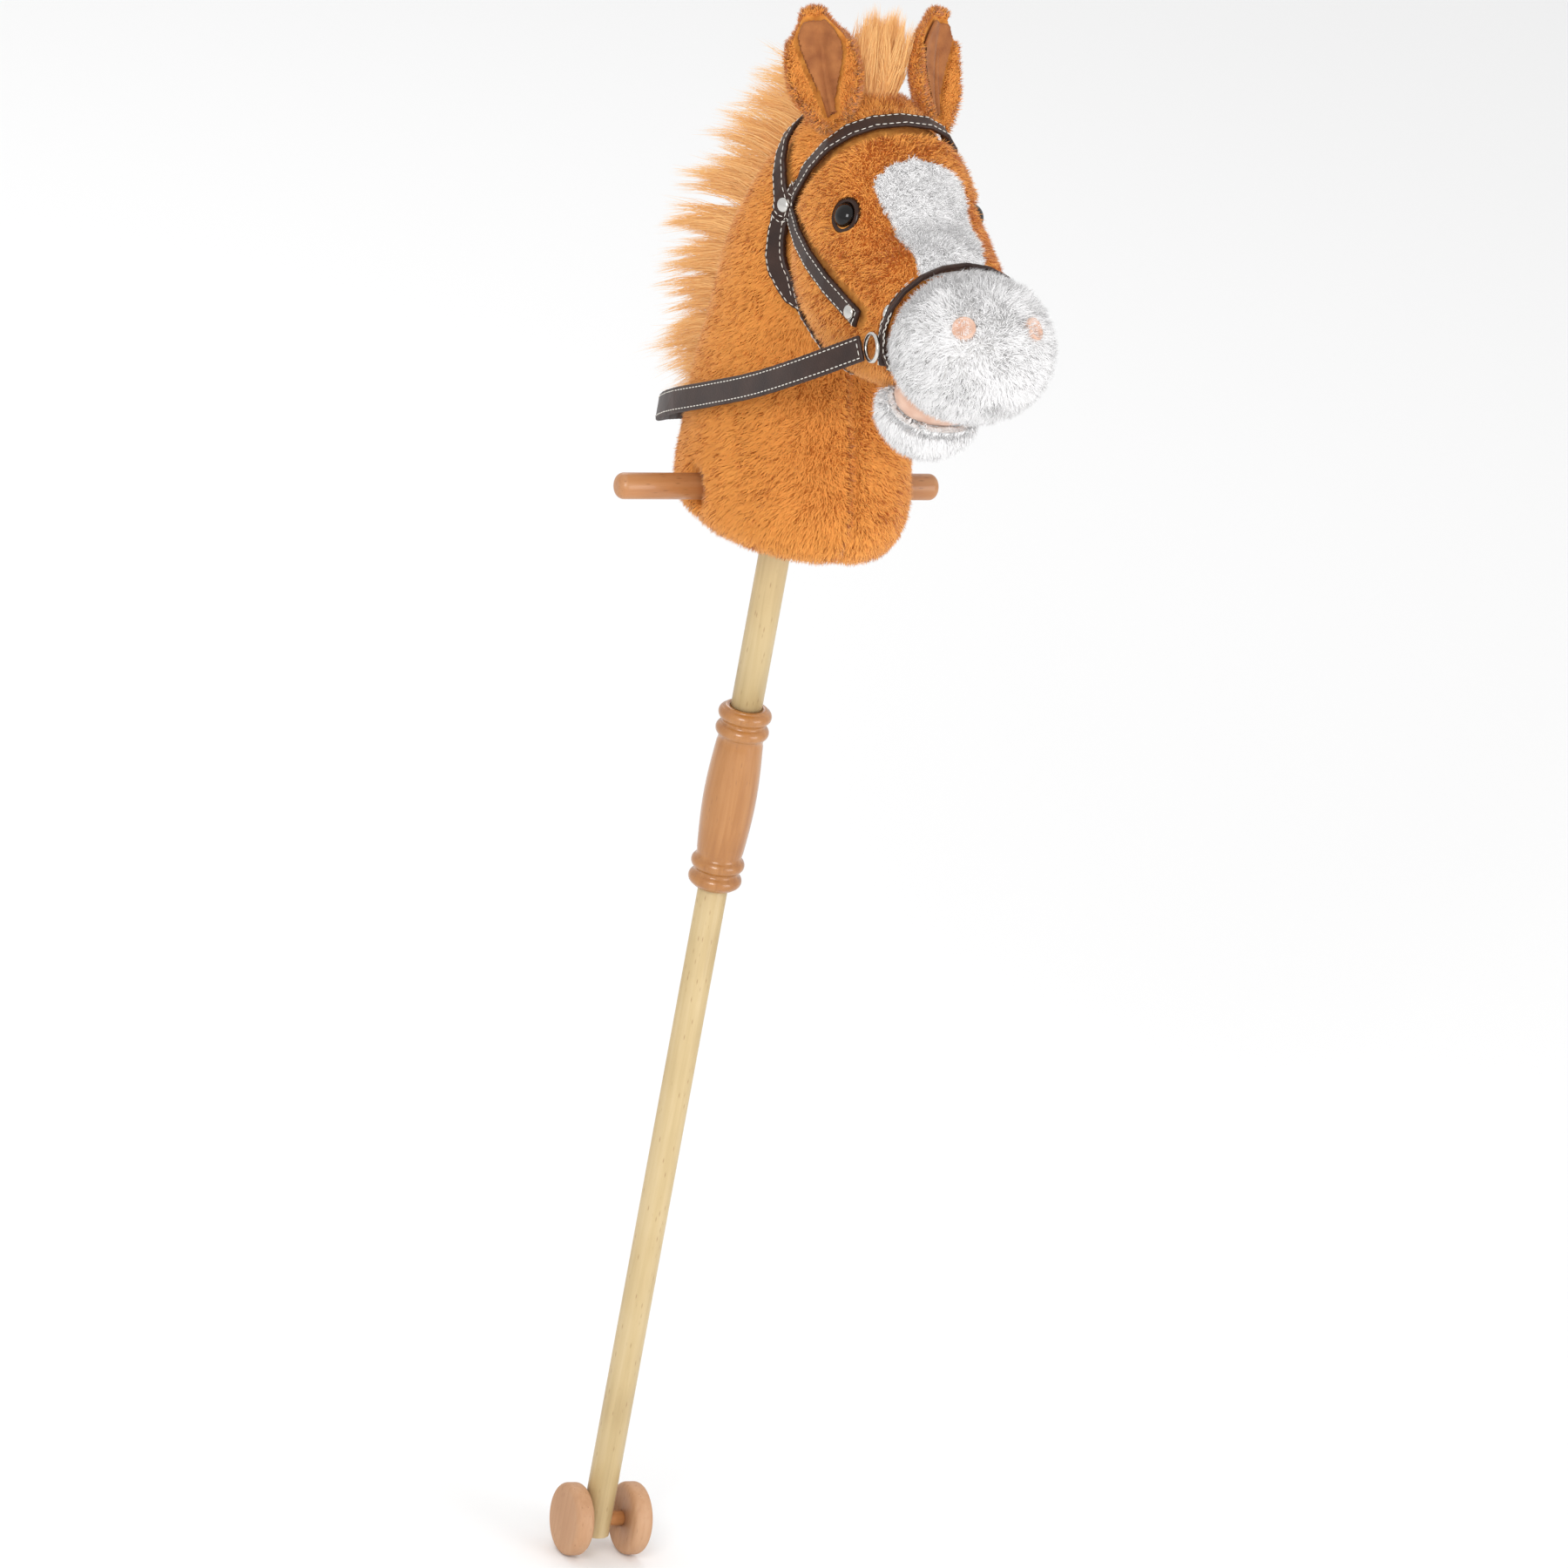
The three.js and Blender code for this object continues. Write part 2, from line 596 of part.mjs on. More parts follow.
addPart("forelock", forelock.subtract(strapTop), look.hair);

// ---- rein: one flat loop from ring to ring, behind the neck ----
const reinSide = Math.max(neckWidth, cheekWidth) / 2 + reinBesideNeck;
const backLine = 0.94 * (neckDepth / 2);
const reinBack = -(backLine + reinBehindNeck);
const reinLow = neckHeight(0.1);
const reinStartX = ringX + ringWire + gap + reinThickness + 0.8;
const reinHalf = [
  [reinStartX, bitPlace[0] - 4, bitPlace[1] - 2],
  [reinSide - 3, faceReach * 0.7, neckHeight(0.518)],
  [reinSide + 1, faceReach * 0.4, neckHeight(0.41)],
  [reinSide + 2, faceReach * 0.08, neckHeight(0.311)],
  [reinSide, -faceReach * 0.23, neckHeight(0.219)],
  [reinSide * 0.78, (reinBack - 40) * 0.52, neckHeight(0.146)],
  [reinSide * 0.42, reinBack * 0.94, neckHeight(0.111)],
];
const reinPoints = [
  ...reinHalf.map(([x, f, z]) => point(-x, f, z)),
  point(0, reinBack, reinLow),
  ...reinHalf.toReversed().map(([x, f, z]) => point(x, f, z)),
];
const reinCurve = new THREE.CatmullRomCurve3(reinPoints);
function strapAlong(curve, steps, width, thickness) {
  const geometry = new THREE.BoxGeometry(1, 1, 1, steps, 1, 1);
  const vertex = geometry.attributes.position;
  const up = new THREE.Vector3(0, 0, 1);
  for (let i = 0; i < vertex.count; i++) {
    const t = vertex.getX(i) + 0.5;
    const along = curve.getTangent(t);
    const wide = up.clone().addScaledVector(along, -up.dot(along)).normalize();
    const through = new THREE.Vector3().crossVectors(along, wide);
    const place = curve.getPoint(t);
    place.addScaledVector(wide, vertex.getY(i) * width);
    place.addScaledVector(through, vertex.getZ(i) * thickness);
    vertex.setXYZ(i, place.x, place.y, place.z);
  }
  return toSolid(geometry);
}
addPart("rein", strapAlong(reinCurve, 44, reinWidth, reinThickness), look.strap);

// ---- handles: a round peg on each side with a tenon in the pole, and a collar behind the skin ----
const handleRadius = handleDiameter / 2;
const poleFace = upperPoleDiameter / 2 + gap;
sides.forEach(([label, side]) => {
  const end = handleLength / 2 + side * handleShift;
  const profile = [
    [0, gap],
    [tenonDiameter / 2, gap],
    [tenonDiameter / 2, poleFace],
    [handleRadius, poleFace],
    [handleRadius, end - 3.6],
    [handleRadius * 0.86, end - 1.2],
    [handleRadius * 0.55, end],
    [0, end],
  ];
  const peg = turned(profile, boreSides).rotate([0, side * 90, 0]).translate([0, 0, handleZ]);
  addPart(`handle_${label}`, peg, look.beech);
});
const collarFrom = neckWidth / 2 - plushThickness - collarInset - collarLength;
sides.forEach(([label, side]) => {
  const low = Math.min(side * collarFrom, side * (collarFrom + collarLength));
  const collar = rodAlongX(collarDiameter / 2, low, low + collarLength, 0, handleZ);
  addPart(`handle_collar_${label}`, collar.subtract(handleBore(gap)), look.lacquered);
});

// ---- poles and grip ----
const tenonHole = rodAlongX(tenonDiameter / 2 + gap, -40, 40, 0, handleZ);
const upperPole = rod(upperPoleDiameter / 2, gripTop - gripSocketDepth, upperPoleTop);
addPart("upper_pole", upperPole.subtract(tenonHole), look.pine);
const ringRadius = gripRingDiameter / 2;
const bellyRadius = gripBellyDiameter / 2;
const ringPitch = 10.3;
function gripProfile() {
  const lower = [[0, 0], [ringRadius - 3.5, 0]];
  for (let ring = 0; ring < 2; ring++) {
    const start = ring * ringPitch;
    lower.push([ringRadius - 1, start + 1.5], [ringRadius, start + 4.6], [ringRadius - 1, start + 7.8]);
    lower.push([ringRadius - 2.8, start + 9.6]);
  }
  lower.push([bellyRadius - 1.9, 2 * ringPitch + 2.2], [bellyRadius - 0.9, 2 * ringPitch + 16]);
  const upper = lower.map(([r, z]) => [r, gripLength - z]).reverse();
  return [...lower, [bellyRadius, gripLength / 2], ...upper];
}
const upperSocketEnd = gripLength - gripSocketDepth - gap;
const upperSocket = rod(upperPoleDiameter / 2 + gap, upperSocketEnd, gripLength + 5);
const lowerSocket = rod(lowerPoleDiameter / 2 + gap, -5, gripSocketDepth + gap);
const grip = turned(gripProfile(), 20).subtract(upperSocket).subtract(lowerSocket);
addPart("grip", grip.translate([0, 0, gripBottom]), look.lacquered);
const axleHole = rodAlongX(axleDiameter / 2 + gap, -40, 40, 0, axleHeight);
const lowerPole = rod(lowerPoleDiameter / 2, 0, gripBottom + gripSocketDepth);
addPart("lower_pole", lowerPole.subtract(axleHole), look.pine);

// ---- wheels on their axle ----
const wheelRadius = wheelDiameter / 2;
const half = wheelThickness / 2;
const wheelProfile = [[0, -half]];
const edgeSteps = 2;
for (let step = 0; step <= edgeSteps; step++) {
  const turn = (step / edgeSteps) * (Math.PI / 2);
  const edge = wheelEdge * (1 - Math.cos(turn));
  wheelProfile.push([wheelRadius - wheelEdge + wheelEdge * Math.sin(turn), -half + edge]);
}
wheelProfile.push(...wheelProfile.slice(1).map(([r, z]) => [r, -z]).reverse(), [0, half]);
sides.forEach(([label, side]) => {
  const centre = wheelShift + (side * wheelSpacing) / 2;
  const inner = centre - side * half;
  const seatEnd = inner + side * axleSeat;
  const seatEnds = [inner - side * 5, seatEnd].sort((a, b) => a - b);
  const seat = rodAlongX(axleDiameter / 2 + gap, ...seatEnds, 0, axleHeight);
  const disc = turned(wheelProfile, 28).rotate([0, 90, 0]).translate([centre, 0, axleHeight]);
  addPart(`wheel_${label}`, disc.subtract(seat), look.beech);
});
const axleHalf = wheelSpacing / 2 - half + axleSeat - gap;
const axleEnds = [wheelShift - axleHalf, wheelShift + axleHalf];
addPart("axle", rodAlongX(axleDiameter / 2, ...axleEnds, 0, axleHeight), look.beech);

export default horse;
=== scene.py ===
"""A hobby horse: a stuffed plush head with a stitched bridle, on a turned wooden pole with two wheels."""
import math
import random

import bmesh
import bpy
from mathutils import Matrix, Vector, noise
from mathutils.bvhtree import BVHTree


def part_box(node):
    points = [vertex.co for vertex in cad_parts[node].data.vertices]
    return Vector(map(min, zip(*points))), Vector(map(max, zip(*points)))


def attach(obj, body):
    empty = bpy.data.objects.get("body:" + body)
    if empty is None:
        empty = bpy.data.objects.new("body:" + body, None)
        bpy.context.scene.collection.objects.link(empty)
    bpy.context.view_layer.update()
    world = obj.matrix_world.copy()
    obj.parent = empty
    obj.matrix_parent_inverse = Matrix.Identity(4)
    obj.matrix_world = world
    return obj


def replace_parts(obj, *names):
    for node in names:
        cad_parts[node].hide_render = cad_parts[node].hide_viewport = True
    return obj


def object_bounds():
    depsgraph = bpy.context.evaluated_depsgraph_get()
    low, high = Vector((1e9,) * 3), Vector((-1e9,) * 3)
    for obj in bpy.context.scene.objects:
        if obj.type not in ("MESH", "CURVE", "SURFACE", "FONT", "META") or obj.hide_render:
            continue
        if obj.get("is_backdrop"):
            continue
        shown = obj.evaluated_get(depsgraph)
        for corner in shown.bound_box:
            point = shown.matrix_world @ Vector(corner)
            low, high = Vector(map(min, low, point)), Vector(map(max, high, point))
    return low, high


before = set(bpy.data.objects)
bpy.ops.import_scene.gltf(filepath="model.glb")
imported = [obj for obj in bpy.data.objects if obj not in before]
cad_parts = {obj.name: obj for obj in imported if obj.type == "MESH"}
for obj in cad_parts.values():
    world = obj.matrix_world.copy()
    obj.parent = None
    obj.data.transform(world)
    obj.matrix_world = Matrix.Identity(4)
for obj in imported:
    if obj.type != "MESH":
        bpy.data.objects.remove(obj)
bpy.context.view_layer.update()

MM = 0.001
HEAD = "head"
SIDES = (("left", -1), ("right", 1))


# ---- places taken from the frame ----
def middle(node):
    low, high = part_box(node)
    return (low + high) / 2


def size(node):
    low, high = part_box(node)
    return high - low


def merged_copy(*nodes):
    """One mesh of these nodes with their doubled corners joined."""
    bm = bmesh.new()
    for node in nodes:
        bm.from_mesh(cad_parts[node].data)
    bmesh.ops.remove_doubles(bm, verts=bm.verts, dist=0.02 * MM)
    return bm


# ---- colours, nodes and finishes ----
def srgb(hex_colour):
    """An sRGB hex colour as a linear one."""
    channels = [int(hex_colour[i:i + 2], 16) / 255 for i in (1, 3, 5)]
    linear = [c / 12.92 if c <= 0.04045 else ((c + 0.055) / 1.055) ** 2.4 for c in channels]
    return (*linear, 1)


def add(tree, kind, inputs=None, **settings):
    """Adds a node with its settings, and sets or links its inputs."""
    made = tree.nodes.new(kind)
    for key, value in settings.items():
        setattr(made, key, value)
    for socket, value in (inputs or {}).items():
        if isinstance(value, bpy.types.NodeSocket):
            tree.links.new(value, made.inputs[socket])
        else:
            made.inputs[socket].default_value = value
    return made


def finish(name, colour, roughness, **sockets):
    """A material whose shader has these values; returns it, its node tree and its shader."""
    material = bpy.data.materials.new(name)
    material.use_nodes = True
    shader = material.node_tree.nodes["Principled BSDF"]
    shader.inputs["Base Color"].default_value = srgb(colour)
    shader.inputs["Roughness"].default_value = roughness
    for socket, value in sockets.items():
        shader.inputs[socket.replace("_", " ")].default_value = value
    return material, material.node_tree, shader


def ramp(tree, factor, stops):
    made = add(tree, "ShaderNodeValToRGB", {"Fac": factor})
    points = made.color_ramp.elements
    while len(points) < len(stops):
        points.new(0.5)
    for point, (place, colour) in zip(points, stops):
        point.position = place
        point.color = srgb(colour)
    return made.outputs["Color"]


def bump(tree, shader, height, strength, distance):
    made = add(tree, "ShaderNodeBump", {"Height": height, "Strength": strength, "Distance": distance})
    tree.links.new(made.outputs["Normal"], shader.inputs["Normal"])


def per_mm(length):
    """A texture scale whose features are about this many millimetres."""
    return 1 / (length * MM)


def wood(name, stops, along, roughness, coat, fleck, streak=1.4):
    """Planed and lacquered wood: long streaks of grain, fine pores and short dark flecks."""
    material, tree, shader = finish(name, stops[0][1], roughness, Coat_Weight=coat, Coat_Roughness=0.12)
    place = add(tree, "ShaderNodeTexCoord").outputs["Object"]
    squeeze = [0.04 if axis == along else 1 for axis in "xyz"]
    grain_place = add(tree, "ShaderNodeMapping", {"Vector": place, "Scale": squeeze}).outputs["Vector"]
    grain = add(tree, "ShaderNodeTexNoise", {"Vector": grain_place, "Scale": per_mm(streak * 3), "Detail": 6,
                                             "Roughness": 0.65, "Distortion": 0.4})
    cloud = add(tree, "ShaderNodeTexNoise", {"Vector": place, "Scale": per_mm(60), "Detail": 2})
    both = add(tree, "ShaderNodeMath", {0: grain.outputs["Fac"], 1: cloud.outputs["Fac"]}, operation="ADD")
    half = add(tree, "ShaderNodeMath", {0: both.outputs[0], 1: 0.5}, operation="MULTIPLY")
    colour = ramp(tree, half.outputs[0], stops)
    fleck_squeeze = [0.22 if axis == along else 1 for axis in "xyz"]
    fleck_place = add(tree, "ShaderNodeMapping", {"Vector": place, "Scale": fleck_squeeze}).outputs["Vector"]
    flecks = add(tree, "ShaderNodeTexVoronoi", {"Vector": fleck_place, "Scale": per_mm(2.6), "Randomness": 1})
    dots = add(tree, "ShaderNodeMapRange", {"Value": flecks.outputs["Distance"], "From Min": 0.05,
                                            "From Max": 0.2, "To Min": fleck, "To Max": 0})
    mixed = add(tree, "ShaderNodeMix", {0: dots.outputs[0], 6: colour, 7: srgb("#8A5A34")}, data_type="RGBA")
    tree.links.new(mixed.outputs[2], shader.inputs["Base Color"])
    bump(tree, shader, grain.outputs["Fac"], 0.12, 0.2 * MM)
    return material


def leather():
    """Coated split leather with a fine pebble grain and a satin surface."""
    material, tree, shader = finish("dark brown coated leather", "#3A251D", 0.45, Specular_IOR_Level=0.35)
    place = add(tree, "ShaderNodeTexCoord").outputs["Object"]
    pebble = add(tree, "ShaderNodeTexVoronoi", {"Vector": place, "Scale": per_mm(1.1)}, feature="SMOOTH_F1")
    cloud = add(tree, "ShaderNodeTexNoise", {"Vector": place, "Scale": per_mm(18), "Detail": 4})
    colour = ramp(tree, cloud.outputs["Fac"], [(0.3, "#27150F"), (0.55, "#331F17"), (0.8, "#402A22")])
    tree.links.new(colour, shader.inputs["Base Color"])
    bump(tree, shader, pebble.outputs["Distance"], 0.35, 0.25 * MM)
    return material


def backing(name, dark, light, grain):
    """Knitted pile backing, seen only between the hairs."""
    material, tree, shader = finish(name, light, 1.0)
    place = add(tree, "ShaderNodeTexCoord").outputs["Object"]
    cloud = add(tree, "ShaderNodeTexNoise", {"Vector": place, "Scale": per_mm(grain), "Detail": 5})
    tree.links.new(ramp(tree, cloud.outputs["Fac"], [(0.35, dark), (0.65, light)]), shader.inputs["Base Color"])
    bump(tree, shader, cloud.outputs["Fac"], 0.6, 1.0 * MM)
    return material


def nap(name, dark, light, grain, sheen):
    """Short brushed cloth, such as velour or suede: soft mottling and a light sheen."""
    material, tree, shader = finish(name, light, 0.85, Sheen_Weight=sheen, Sheen_Roughness=0.4)
    place = add(tree, "ShaderNodeTexCoord").outputs["Object"]
    mottle = add(tree, "ShaderNodeTexNoise", {"Vector": place, "Scale": per_mm(9), "Detail": 5})
    fine = add(tree, "ShaderNodeTexNoise", {"Vector": place, "Scale": per_mm(grain), "Detail": 3})
    tree.links.new(ramp(tree, mottle.outputs["Fac"], [(0.3, dark), (0.7, light)]), shader.inputs["Base Color"])
    bump(tree, shader, fine.outputs["Fac"], 0.5, 0.4 * MM)
    return material


def hairs(name, colours, glow, roughness=0.7, sheen=0.25):
    """One plain finish for each tint of dyed polyester hair: each hair takes one, so the pile is mixed.
    The glow is painted light: an emission in each tint's own colour that brightens the hair, standing in for the light
    that soaks through the fibres and lifting the shade among them."""
    return [finish(f"{name} {i + 1}", colour, roughness, Sheen_Weight=sheen, Specular_IOR_Level=0.25,
                   Emission_Color=srgb(colour), Emission_Strength=glow)[0]
            for i, colour in enumerate(colours)]


PINE = wood("pale pine dowel", [(0.3, "#B39A6C"), (0.5, "#C7AF80"), (0.7, "#D2BC92")], "z", 0.5, 0.15, 0.5)
BEECH_GRIP = wood("lacquered beech grip", [(0.3, "#98602B"), (0.5, "#AC733B"), (0.72, "#BF8851")], "z", 0.32, 0.5, 0.5)
BEECH_BAR = wood("beech handle", [(0.3, "#A56B3A"), (0.5, "#B67C4B"), (0.72, "#C69163")], "x", 0.42, 0.25, 0.75)
BEECH_WHEEL = wood("sanded beech wheel", [(0.3, "#AC7E58"), (0.5, "#BB8E69"), (0.72, "#C8A07D")], "z", 0.6, 0.05, 0.6)
LEATHER = leather()
THREAD = finish("waxed white thread", "#E9E4DA", 0.6)[0]
NICKEL = finish("polished nickel", "#D5D3CE", 0.22, Metallic=1.0)[0]
EYE_BLACK = finish("black moulded eye", "#070505", 0.04, Specular_IOR_Level=0.4)[0]
EYE_RIM = finish("dark brown eye rim", "#2E190E", 0.25, Specular_IOR_Level=0.35)[0]
WASHER = finish("white nylon washer", "#E6E4DE", 0.5)[0]
ORANGE_BACKING = backing("amber pile backing", "#B86F2A", "#DB9443", 6)
WHITE_BACKING = backing("white pile backing", "#E2E0DE", "#F2F1F0", 6)
HOLE_LINING = nap("red-brown hole facing", "#8E402B", "#B35C40", 1.0, 0.2)
VELOUR = nap("pink velour", "#D0A48C", "#E2BEA9", 0.8, 0.2)
SUEDE = nap("brown ear suede", "#8A4F26", "#A96A38", 0.9, 0.15)
# The last number of each hair finish is its painted glow: an emission that brightens the hair as painted light.
AMBER_HAIR = hairs("amber pile hair", ["#EDA04C", "#F3AE60", "#E6943C", "#F7BD7A", "#EFA655"], 0.1)
WHITE_HAIR = hairs("white pile hair", ["#FBFAFA", "#F6F5F5", "#FFFFFF", "#F1F0F0"], 0.08)
MANE_HAIR = hairs("golden mane hair", ["#EABD7E", "#F0CB96", "#DFAC68", "#F6DBB0", "#D39E56"], 0.1, 0.5)


# ---- making pieces ----
def piece(name, bm, material, slot, body=HEAD, smooth=True):
    """Turns a bmesh into a named piece that rides on a body."""
    mesh = bpy.data.meshes.new(name)
    for face in bm.faces:
        face.smooth = smooth
    bm.to_mesh(mesh)
    bm.free()
    made = bpy.data.objects.new(name, mesh)
    bpy.context.scene.collection.objects.link(made)
    for one in material if isinstance(material, list) else [material]:
        mesh.materials.append(one)
    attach(made, body)
    return made


def turned(profile, axis="Z", place=(0, 0, 0), steps=64):
    """A body of revolution from [radius, height] points in mm that start and end on its axis."""
    bm = bmesh.new()
    corners = [bm.verts.new((r * MM, 0, z * MM)) for r, z in profile]
    edges = [bm.edges.new(pair) for pair in zip(corners, corners[1:])]
    bmesh.ops.spin(bm, geom=corners + edges, cent=(0, 0, 0), axis=(0, 0, 1), angle=math.tau,
                   steps=steps, use_merge=True)
    bmesh.ops.remove_doubles(bm, verts=bm.verts, dist=0.005 * MM)
    bmesh.ops.recalc_face_normals(bm, faces=bm.faces)
    if axis == "X":
        bmesh.ops.rotate(bm, verts=bm.verts, matrix=Matrix.Rotation(math.pi / 2, 3, "Y"))
    bmesh.ops.translate(bm, verts=bm.verts, vec=place)
    return bm


def arc(centre, radius, start, end, steps):
    """Points [radius, height] on an arc, in mm and degrees."""
    turns = [math.radians(start + (end - start) * i / steps) for i in range(steps + 1)]
    return [(centre[0] + radius[0] * math.cos(a), centre[1] + radius[1] * math.sin(a)) for a in turns]


def loose(bm, material=None):
    """A plain object for the mesh tools, to be taken apart again with `taken`."""
    mesh = bpy.data.meshes.new("work")
    bm.to_mesh(mesh)
    bm.free()
    made = bpy.data.objects.new("work", mesh)
    bpy.context.scene.collection.objects.link(made)
    return made


def taken(made):
    """The mesh of a plain object with its modifiers applied; the object goes."""
    bpy.context.view_layer.update()
    depsgraph = bpy.context.evaluated_depsgraph_get()
    bm = bmesh.new()
    bm.from_mesh(made.evaluated_get(depsgraph).to_mesh())
    bpy.data.objects.remove(made)
    return bm


def remeshed(bm, voxel, rounds):
    """The closed body as an even, smoothed net of small faces."""
    made = loose(bm)
    net = made.modifiers.new("net", "REMESH")
    net.mode = "VOXEL"
    net.voxel_size = voxel * MM
    relax = made.modifiers.new("relax", "SMOOTH")
    relax.factor = 0.5
    relax.iterations = rounds
    return taken(made)


# ---- wooden pieces ----
def wooden_pieces():
    pole = size("lower_pole")
    radius = pole.x / 2 / MM
    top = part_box("lower_pole")[1].z / MM
    profile = [(0, 0), (radius - 0.5, 0), (radius, 0.5), (radius, top - 0.8), (radius - 0.8, top), (0, top)]
    lower = piece("lower_pole_dowel", turned(profile), PINE, "pine", "pole")
    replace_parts(lower, "lower_pole")

    low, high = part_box("upper_pole")
    radius = size("upper_pole").x / 2 / MM
    low_z, high_z = low.z / MM, high.z / MM
    profile = [(0, low_z), (radius, low_z), (radius, high_z - 1), (radius - 1, high_z), (0, high_z)]
    upper = piece("upper_pole_dowel", turned(profile), PINE, "pine")
    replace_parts(upper, "upper_pole")

    low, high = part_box("grip")
    length = (high.z - low.z) / MM
    ring = size("grip").x / 2 / MM
    bore = 9.8
    pitch = 10.3
    half = [(bore, 0), (ring - 4, 0), (ring - 3, 0.6)]
    for i in range(2):
        half += arc((ring - 4.6, i * pitch + 5), (4.6, 4.4), -70, 62, 10)
    half += [(ring - 2.6, 2 * pitch + 0.9), (ring - 2.1, 2 * pitch + 3.2)]
    for i in range(1, 13):
        t = i / 12
        half.append((ring - 2.1 + 1.9 * math.sin(t * math.pi / 2), 2 * pitch + 3.2 + t * (length / 2 - 2 * pitch - 3.2)))
    whole = half + [(r, length - z) for r, z in reversed(half[:-1])]
    bm = turned([(r, z + low.z / MM) for r, z in whole + [whole[0]]])
    grip = piece("grip_turning", bm, BEECH_GRIP, "beech_lacquered")
    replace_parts(grip, "grip")

    for label, side in SIDES:
        low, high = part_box(f"handle_{label}")
        centre = (low + high) / 2
        radius = size(f"handle_{label}").z / 2 / MM
        inner = min(abs(low.x), abs(high.x)) / MM
        outer = max(abs(low.x), abs(high.x)) / MM
        profile = [(0, inner), (4.5, inner), (4.5, 9.8), (radius, 9.8)]
        profile += arc((radius - 5, outer - 5), (5, 5), 0, 90, 10) + [(0, outer)]
        bm = turned([(r, side * z) for r, z in profile], "X", (0, centre.y, centre.z))
        bar = piece(f"handle_{label}_peg", bm, BEECH_BAR, "beech")
        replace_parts(bar, f"handle_{label}")

        low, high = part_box(f"handle_collar_{label}")
        middle_x = (low.x + high.x) / 2 / MM
        collar_radius = size(f"handle_collar_{label}").z / 2 / MM
        ring_profile = arc((collar_radius - 4, 0), (4, 4.5), -90, 90, 10)
        ring_profile = [(8.3, -4.5)] + ring_profile + [(8.3, 4.5), (8.3, -4.5)]
        bm = turned(ring_profile, "X", (middle_x * MM, 0, centre.z))
        collar = piece(f"handle_collar_{label}_ring", bm, BEECH_GRIP, "beech_lacquered")
        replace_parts(collar, f"handle_collar_{label}")

        low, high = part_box(f"wheel_{label}")
        centre = (low + high) / 2
        radius = (high.z - low.z) / 2 / MM
        half = (high.x - low.x) / 2 / MM
        inner = -side * half
        edge = 3.8
        rim = arc((radius - edge, half - edge), (edge, edge), 0, 90, 8)
        outside = [(r, z) for r, z in rim] + [(0, half)]
        inside = [(r, -z) for r, z in reversed(rim)]
        hole = 4.8
        bottom = half - 3.5
        profile = [(0, bottom), (hole, bottom), (hole, -half)] + inside + outside
        bm = turned([(r, side * z) for r, z in profile], "X", centre)
        wheel = piece(f"wheel_{label}_disc", bm, BEECH_WHEEL, "beech", "wheel_set")
        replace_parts(wheel, f"wheel_{label}")

    low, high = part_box("axle")
    radius = (high.z - low.z) / 2 / MM
    profile = [(0, low.x / MM), (radius - 0.5, low.x / MM), (radius, low.x / MM + 0.5),
               (radius, high.x / MM - 0.5), (radius - 0.5, high.x / MM), (0, high.x / MM)]
    axle = piece("axle_dowel", turned(profile, "X", (0, 0, middle("axle").z)), BEECH_BAR, "beech", "wheel_set")
    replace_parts(axle, "axle")


# ---- the stuffed skin ----
PILE_ROOM = 3.8  # mm from the CAD skin in to the pile's backing
HOLE = (11.0, 13.5)  # half sizes of the handle hole in mm, forward and up
handle_z = middle("handle_left").z


def smoothstep(value, low, high):
    t = min(1, max(0, (value - low) / (high - low)))
    return t * t * (3 - 2 * t)


def hole_share(place):
    """0 in the middle of a handle hole, 1 on its almond outline, more beyond."""
    forward = place.y / (HOLE[0] * MM)
    rise = (place.z - handle_z + 2 * MM) / (HOLE[1] * MM)
    return math.hypot(forward, rise) if abs(place.x) > 25 * MM else 9


def outer_surface():
    """The plush body's outside as one closed, even net."""
    filling = BVHTree.FromBMesh(merged_copy("stuffing"))
    bm = merged_copy("plush_side_left", "plush_side_right", "neck_base")
    bm.normal_update()
    skins = BVHTree.FromBMesh(bm)

    def inner(face):
        start = face.calc_center_median() + face.normal * 0.02 * MM
        facing_filling = filling.ray_cast(start, face.normal, 8 * MM)[0]
        return facing_filling or skins.ray_cast(start, face.normal, 0.8 * MM)[0]

    bmesh.ops.delete(bm, geom=[f for f in bm.faces if inner(f)], context="FACES")
    bmesh.ops.remove_doubles(bm, verts=bm.verts, dist=0.7 * MM)
    bmesh.ops.holes_fill(bm, edges=[e for e in bm.edges if e.is_boundary], sides=0)
    bmesh.ops.recalc_face_normals(bm, faces=bm.faces)
    return remeshed(bm, 3.0, 16)


def near(value, centre, width):
    """1 at the centre, fading to 0 over the width."""
    return math.exp(-((value - centre) / width) ** 2)


def moved_along_normals(bm, distance):
    """Moves each corner along its normal by distance(place, normal) in mm."""
    bm.normal_update()
    steps = [(v, v.normal * distance(v.co, v.normal) * MM) for v in bm.verts]
    for vert, step in steps:
        vert.co += step
    bm.normal_update()
    return bm


def plush_sag(place, normal):
    """Backing depth under the pile, with the front and back seams drawn in and soft lumps in the filling."""
    lumps = 1.2 * noise.noise(place * per_mm(38))
    seam = 3.0 * near(place.x, 0, 3 * MM) * (place.y > 0 or place.z < 0.80)
    return lumps - PILE_ROOM - seam


outside = moved_along_normals(outer_surface(), plush_sag)
for vert in outside.verts:
    share = hole_share(vert.co)
    if share < 1.25:
        vert.co.x -= math.copysign(13 * MM * (1 - smoothstep(share, 0.78, 1.25)), vert.co.x)
outside.normal_update()
outside_tree = BVHTree.FromBMesh(outside)


def on_skin(place, lift=0.0):
    """The nearest point of the pile's backing, lifted by some mm, and the way it faces."""
    spot, normal, _, _ = outside_tree.find_nearest(Vector(place))
    return spot + normal * lift * MM, normal


def part_of(bm, keep):
    """A copy of the net with only the faces whose middle passes the test."""
    copy = bm.copy()
    gone = [f for f in copy.faces if not keep(f.calc_center_median())]
    bmesh.ops.delete(copy, geom=gone, context="FACES")
    return copy


blaze_tree = BVHTree.FromBMesh(merged_copy("blaze"))


